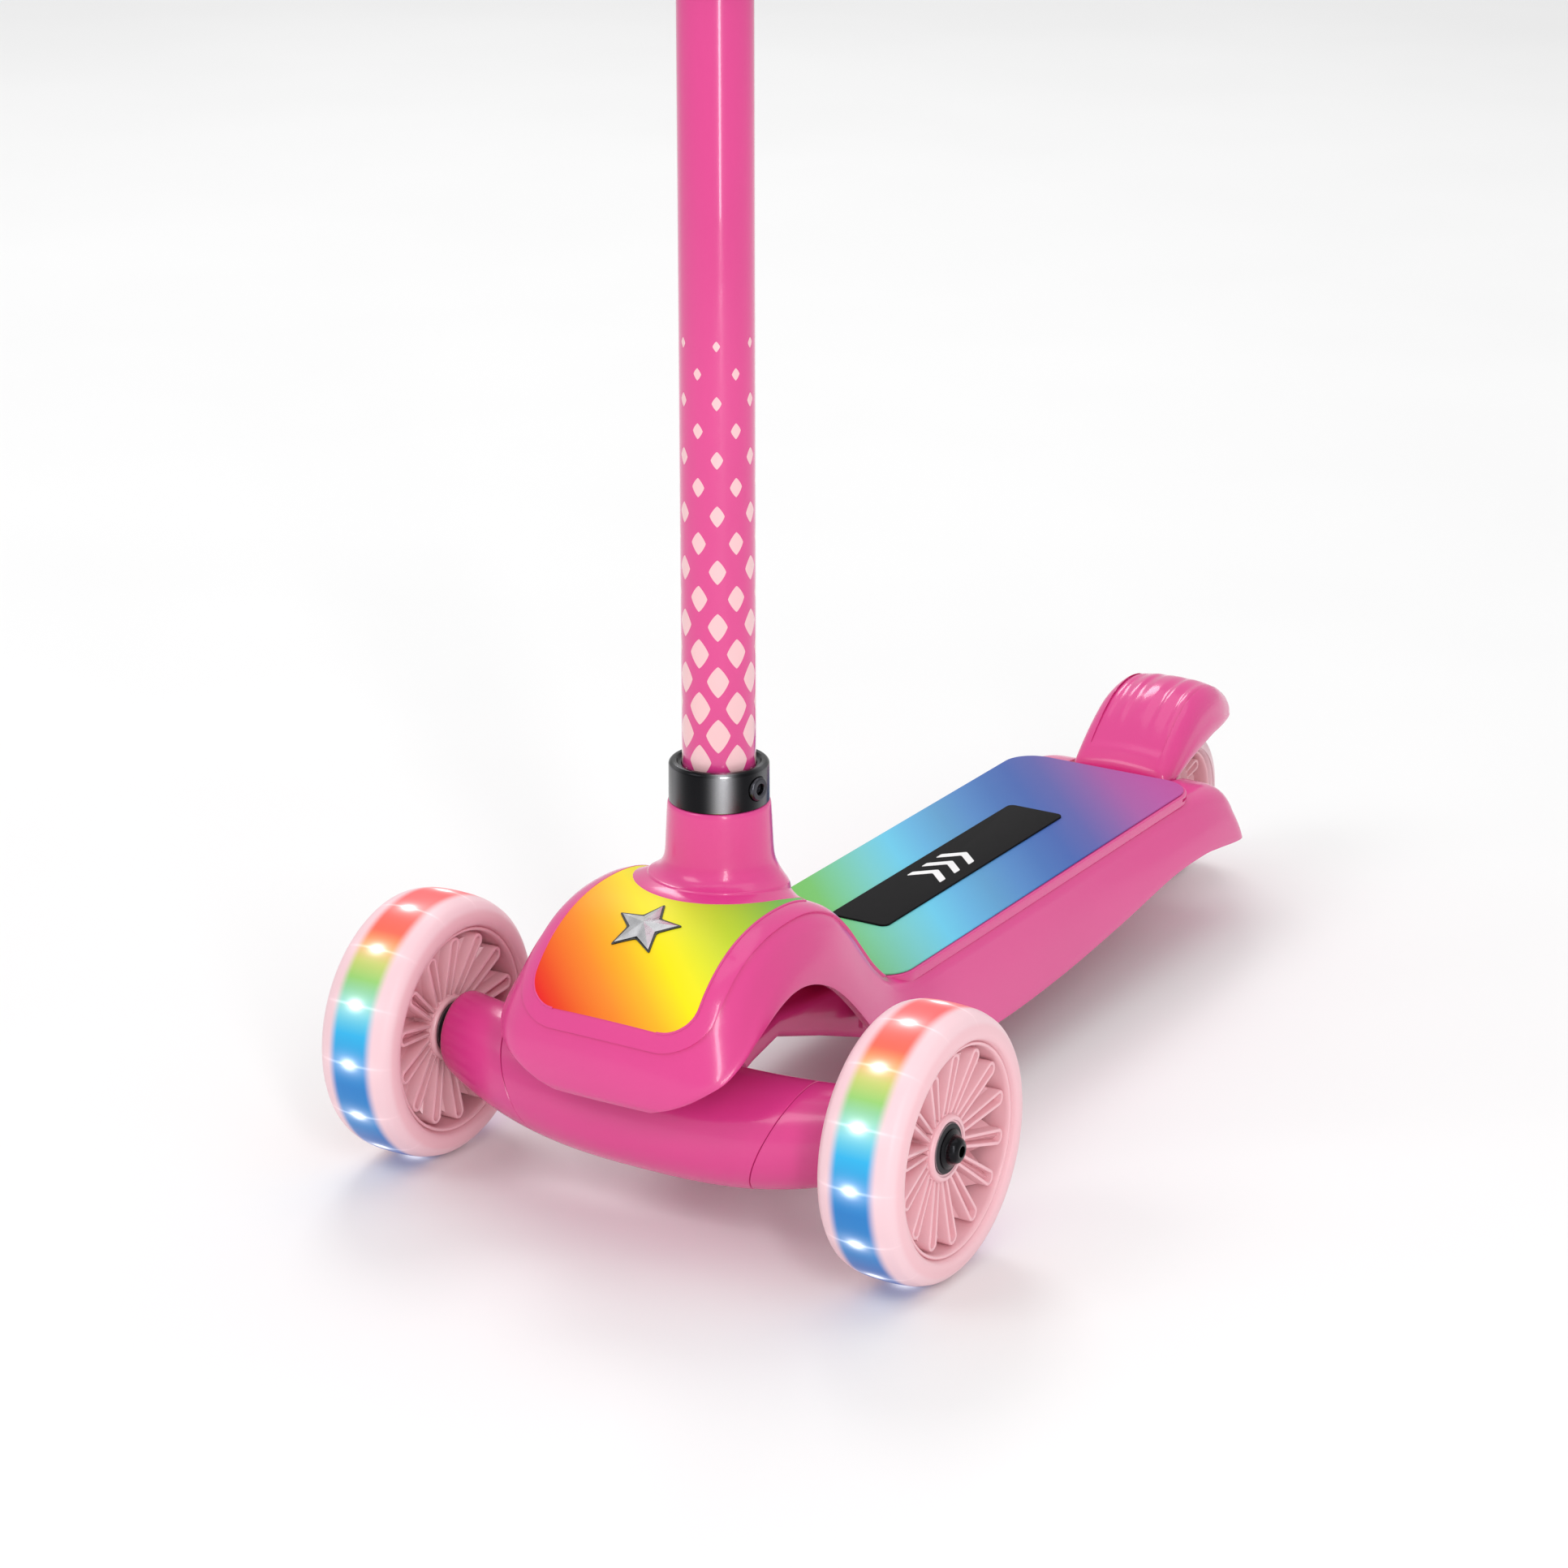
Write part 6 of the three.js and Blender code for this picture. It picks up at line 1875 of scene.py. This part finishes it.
class SCOOTER_OT_brake(ScooterOperator):
    """Build the brake pedal with its fluted tread, the pad, the pin and the spring"""
    bl_idname = "scooter.brake"
    bl_label = "Brake"

    def build(self, context):
        pink = pink_plastic(context)
        sizes = self.sizes(context)
        pedal = self.pedal(pink, sizes)
        ready(pedal, "brake", "pink_shell", "brake_pedal")
        pin = local_middle("brake_pin")
        low, high = local_box("brake_pin")
        metal = steel(context)
        ready(turned("brake_pin", rod_profile(3, low.x, high.x), (0, pin.y, pin.z), ACROSS,
                     metal, 32), "deck", "steel", "brake_pin")
        self.webs(pink, pin)
        self.pad(context)
        self.spring(pin, metal)

    def pedal(self, pink, sizes):
        """The pedal's shell, whose tread is sunk and fluted between raised rims."""
        rows = smooth_rows(PEDAL_STATIONS, 7)
        wall = 2.6
        total = len(rows) - 1
        outer_rows, inner_rows = [], []
        for index, row in enumerate(rows):
            share = index / total
            outer = self.outline_row(row)
            inner = self.outline_row(row, wall)
            outer_rows.append(self.tread(self.dense(outer), share, sizes))
            inner_rows.append(self.tread(self.dense(inner), share, sizes))
        bm = bmesh.new()

        def verts(halves):
            return [[bm.verts.new(place(*point)) for point in mirrored_row(half)]
                    for half in halves]

        outside, inside = verts(outer_rows), verts(inner_rows[3:-9])
        join_grid(bm, outside)
        join_grid(bm, inside)
        join_rows(bm, outside[0], inside[0])
        join_rows(bm, outside[-1], inside[-1])
        for side in (0, -1):
            hem = [row[side] for row in outside]
            lip = [row[side] for row in inside]
            bm.faces.new(hem[:4] + [lip[0]])
            for k in range(len(lip) - 1):
                bm.faces.new((hem[k + 3], hem[k + 4], lip[k + 1], lip[k]))
            bm.faces.new(hem[len(lip) + 2:] + [lip[-1]])
        piece = new_piece("brake_pedal", bm, pink)
        return bevelled(piece, 0.7, 2, 55)

    @staticmethod
    def outline_row(row, wall=0.0):
        """Half a cross-section of the pedal, with a domed top and upright sides."""
        dome = 3.2
        return section((*row[:4], row[4], row[4], row[5], dome), wall)

    @staticmethod
    def dense(half):
        """The same half row with its flat top and shoulder divided more finely."""
        result = []
        for i, point in enumerate(half[:-1]):
            parts = 4 if i < 15 else 1
            for part in range(parts):
                result.append(point.lerp(half[i + 1], part / parts))
        result.append(half[-1])
        return result

    def tread(self, half, share, sizes):
        """Sinks the middle of a row and cuts its flutes."""
        sunk = smoothstep(0.235, 0.27, share) * (1 - smoothstep(0.7, 0.88, share))
        fluted = smoothstep(0.29, 0.4, share) * (1 - smoothstep(0.52, 0.74, share))
        result = []
        for point in half:
            inside = 1 - smoothstep(18.4, 20.2, point.x)
            wave = 0.5 - 0.5 * math.cos(2 * math.pi * point.x / 8.2)
            depth = (sizes.recess_depth * sunk + sizes.flute_depth * fluted * wave) / MM
            down = (half[-1] - half[0]).normalized()
            result.append(point + down * depth * inside)
        return result

    def webs(self, pink, pin):
        """The two eyes that hang the pedal on its pin."""
        bm = bmesh.new()
        for side in (-1, 1):
            low, high = sorted((side * 17, side * 21))
            add_turned(bm, filleted([(3.1, low), (6, low), (6, high), (3.1, high)], 0.6, 3),
                       (0, pin.y, pin.z), ACROSS, 40, True)
            outline = [(pin.y - 5.5, pin.z + 2), (pin.y + 5.5, pin.z + 2), (pin.y + 11, 89),
                       (pin.y + 4, 84), (pin.y - 3, 76)]
            add_plate(bm, outline, low, high, 0.5, sideways)
        ready(new_piece("pedal_eyes", bm, pink), "brake", "pink_shell")

    def pad(self, context):
        """The rubber pad over the tyre and the block that carries it."""
        axle = local_middle("rear_tyre")
        rubber = satin_plastic("pad_rubber", tuple(self.colours(context).black), 0.8)
        band = []
        for step in range(13):
            angle = math.radians(66 + 46 * step / 12)
            band.append((math.cos(angle), math.sin(angle)))
        inner = [(axle.y + 44.5 * c, axle.z + 44.5 * s) for c, s in band]
        outer = [(axle.y + 48.5 * c, axle.z + 48.5 * s) for c, s in reversed(band)]
        outline = inner + outer
        outline.reverse()
        pad = plate("brake_pad", outline, -11, 11, 0.6, rubber,
                    put=sideways)
        ready(pad, "brake", "grip_rubber", "brake_pad")
        block = [(axle.y + 48.7 * c, axle.z + 48.7 * s) for c, s in band[1:-2]]
        block = block + [(467, 101.5), (480, 103.5), (495, 99.5)]
        bm = bmesh.new()
        add_plate(bm, block, -8, 8, 0.6, sideways)
        ready(new_piece("pad_block", bm, pink_plastic(context)), "brake", "pink_shell")

    def spring(self, pin, metal):
        """The torsion spring round the pin, with a leg to the deck."""
        points = [(-5.4, pin.y - 9, pin.z - 9)]
        turns, steps = 3.5, 84
        for step in range(steps + 1):
            angle = 2 * math.pi * turns * step / steps - math.pi / 2
            points.append((-5.4 + 10.8 * step / steps, pin.y + 5.2 * math.cos(angle),
                           pin.z + 5.2 * math.sin(angle)))
        bm = bmesh.new()
        add_path_tube(bm, points, 0.9, 10)
        ready(new_piece("brake_spring", bm, metal), "deck", "steel", "brake_spring")


# ------------------------------------------------------------------ stage

class SCOOTER_OT_stage(ScooterOperator):
    """Set the pale floor, the soft studio lights and the camera"""
    bl_idname = "scooter.stage"
    bl_label = "Stage"

    # The camera's place and directions are measured from the front axle.
    CAMERA_PLACE = (952.4, -1475.1, 817.7)
    CAMERA_AZIMUTH = 31.2
    CAMERA_ELEVATION = 19.51
    FOCAL_LENGTH = 101.2

    def build(self, context):
        scene = context.scene
        scene.view_settings.view_transform = "Standard"
        self.camera(scene)
        self.floor()
        self.world(scene)
        self.light("key_light", (-1.5, -2.3, 2.6), 1.4, 1.4, 17)
        self.light("side_strip", (1.45, -1.66, 1.05), 0.24, 2.0, 17)
        self.light("back_light", (-1.7, 1.9, 2.7), 1.2, 1.2, 26)
        self.light("top_soft", (0.2, 0.4, 3.4), 2.8, 2.8, 18)

    def camera(self, scene):
        data = bpy.data.cameras.new("camera")
        data.sensor_width = 36.0
        data.lens = self.FOCAL_LENGTH
        data.clip_end = 100.0
        camera = bpy.data.objects.new("camera", data)
        scene.collection.objects.link(camera)
        a, e = math.radians(self.CAMERA_AZIMUTH), math.radians(self.CAMERA_ELEVATION)
        back = Vector((math.sin(a) * math.cos(e), -math.cos(a) * math.cos(e), math.sin(e)))
        right = Vector((math.cos(a), math.sin(a), 0))
        up = back.cross(right)
        turn = Matrix((right, up, back)).transposed().to_4x4()
        camera.matrix_world = Matrix.Translation(place(*self.CAMERA_PLACE)) @ turn
        scene.camera = camera

    def floor(self):
        finish = Finish("pale_floor", roughness=0.65)
        cloud = finish.noise(3.0, 2.0)
        base = finish.mix(cloud, colour(240, 240, 240), colour(246, 246, 246))
        finish.bump(finish.noise(400.0), 0.00005, 0.2)
        finish.paint(base_color=base)
        bm = bmesh.new()
        half = 14.0
        corners = [(-half, -half), (half, -half), (half, half), (-half, half)]
        bm.faces.new([bm.verts.new((x, y, 0.0)) for x, y in corners])
        mesh = bpy.data.meshes.new("floor")
        bm.to_mesh(mesh)
        bm.free()
        mesh.materials.append(finish.material)
        floor = bpy.data.objects.new("floor", mesh)
        bpy.context.scene.collection.objects.link(floor)

    def world(self, scene):
        world = bpy.data.worlds.new("studio")
        world.use_nodes = True
        background = world.node_tree.nodes["Background"]
        background.inputs["Color"].default_value = (1.0, 1.0, 1.0, 1)
        background.inputs["Strength"].default_value = 0.68
        scene.world = world

    @staticmethod
    def light(name, spot, width, height, power):
        data = bpy.data.lights.new(name, "AREA")
        data.shape = "RECTANGLE"
        data.size, data.size_y = width, height
        data.energy = power
        lamp = bpy.data.objects.new(name, data)
        bpy.context.scene.collection.objects.link(lamp)
        lamp.location = spot
        aim = Vector((0, 0, 0.15)) - Vector(spot)
        lamp.rotation_euler = aim.to_track_quat("-Z", "Y").to_euler()


# ------------------------------------------------------------------ add-on

class SCOOTER_PT_panel(bpy.types.Panel):
    """The scooter's sizes, colours and builders"""
    bl_idname = "SCOOTER_PT_panel"
    bl_label = "Kick scooter"
    bl_space_type = "VIEW_3D"
    bl_region_type = "UI"
    bl_category = "Scooter"

    def draw(self, context):
        layout = self.layout
        for settings in (context.scene.scooter_sizes, context.scene.scooter_colours):
            column = layout.column(align=True)
            for name in settings.__annotations__:
                column.prop(settings, name)
        column = layout.column(align=True)
        for builder in BUILDERS:
            column.operator(builder.bl_idname)


BUILDERS = (
    SCOOTER_OT_stage,
    SCOOTER_OT_body,
    SCOOTER_OT_nose,
    SCOOTER_OT_deck_top,
    SCOOTER_OT_neck,
    SCOOTER_OT_stem,
    SCOOTER_OT_handlebar,
    SCOOTER_OT_axle,
    SCOOTER_OT_front_wheels,
    SCOOTER_OT_rear_wheel,
    SCOOTER_OT_brake,
)
CLASSES = (ScooterSizes, ScooterColours, *BUILDERS, SCOOTER_PT_panel)


def register():
    for each in CLASSES:
        bpy.utils.register_class(each)
    bpy.types.Scene.scooter_sizes = PointerProperty(type=ScooterSizes)
    bpy.types.Scene.scooter_colours = PointerProperty(type=ScooterColours)


def unregister():
    del bpy.types.Scene.scooter_sizes
    del bpy.types.Scene.scooter_colours
    for each in reversed(CLASSES):
        bpy.utils.unregister_class(each)


def main():
    register()
    for builder in BUILDERS:
        group, name = builder.bl_idname.split(".")
        getattr(getattr(bpy.ops, group), name)()


if __name__ == "__main__":
    main()
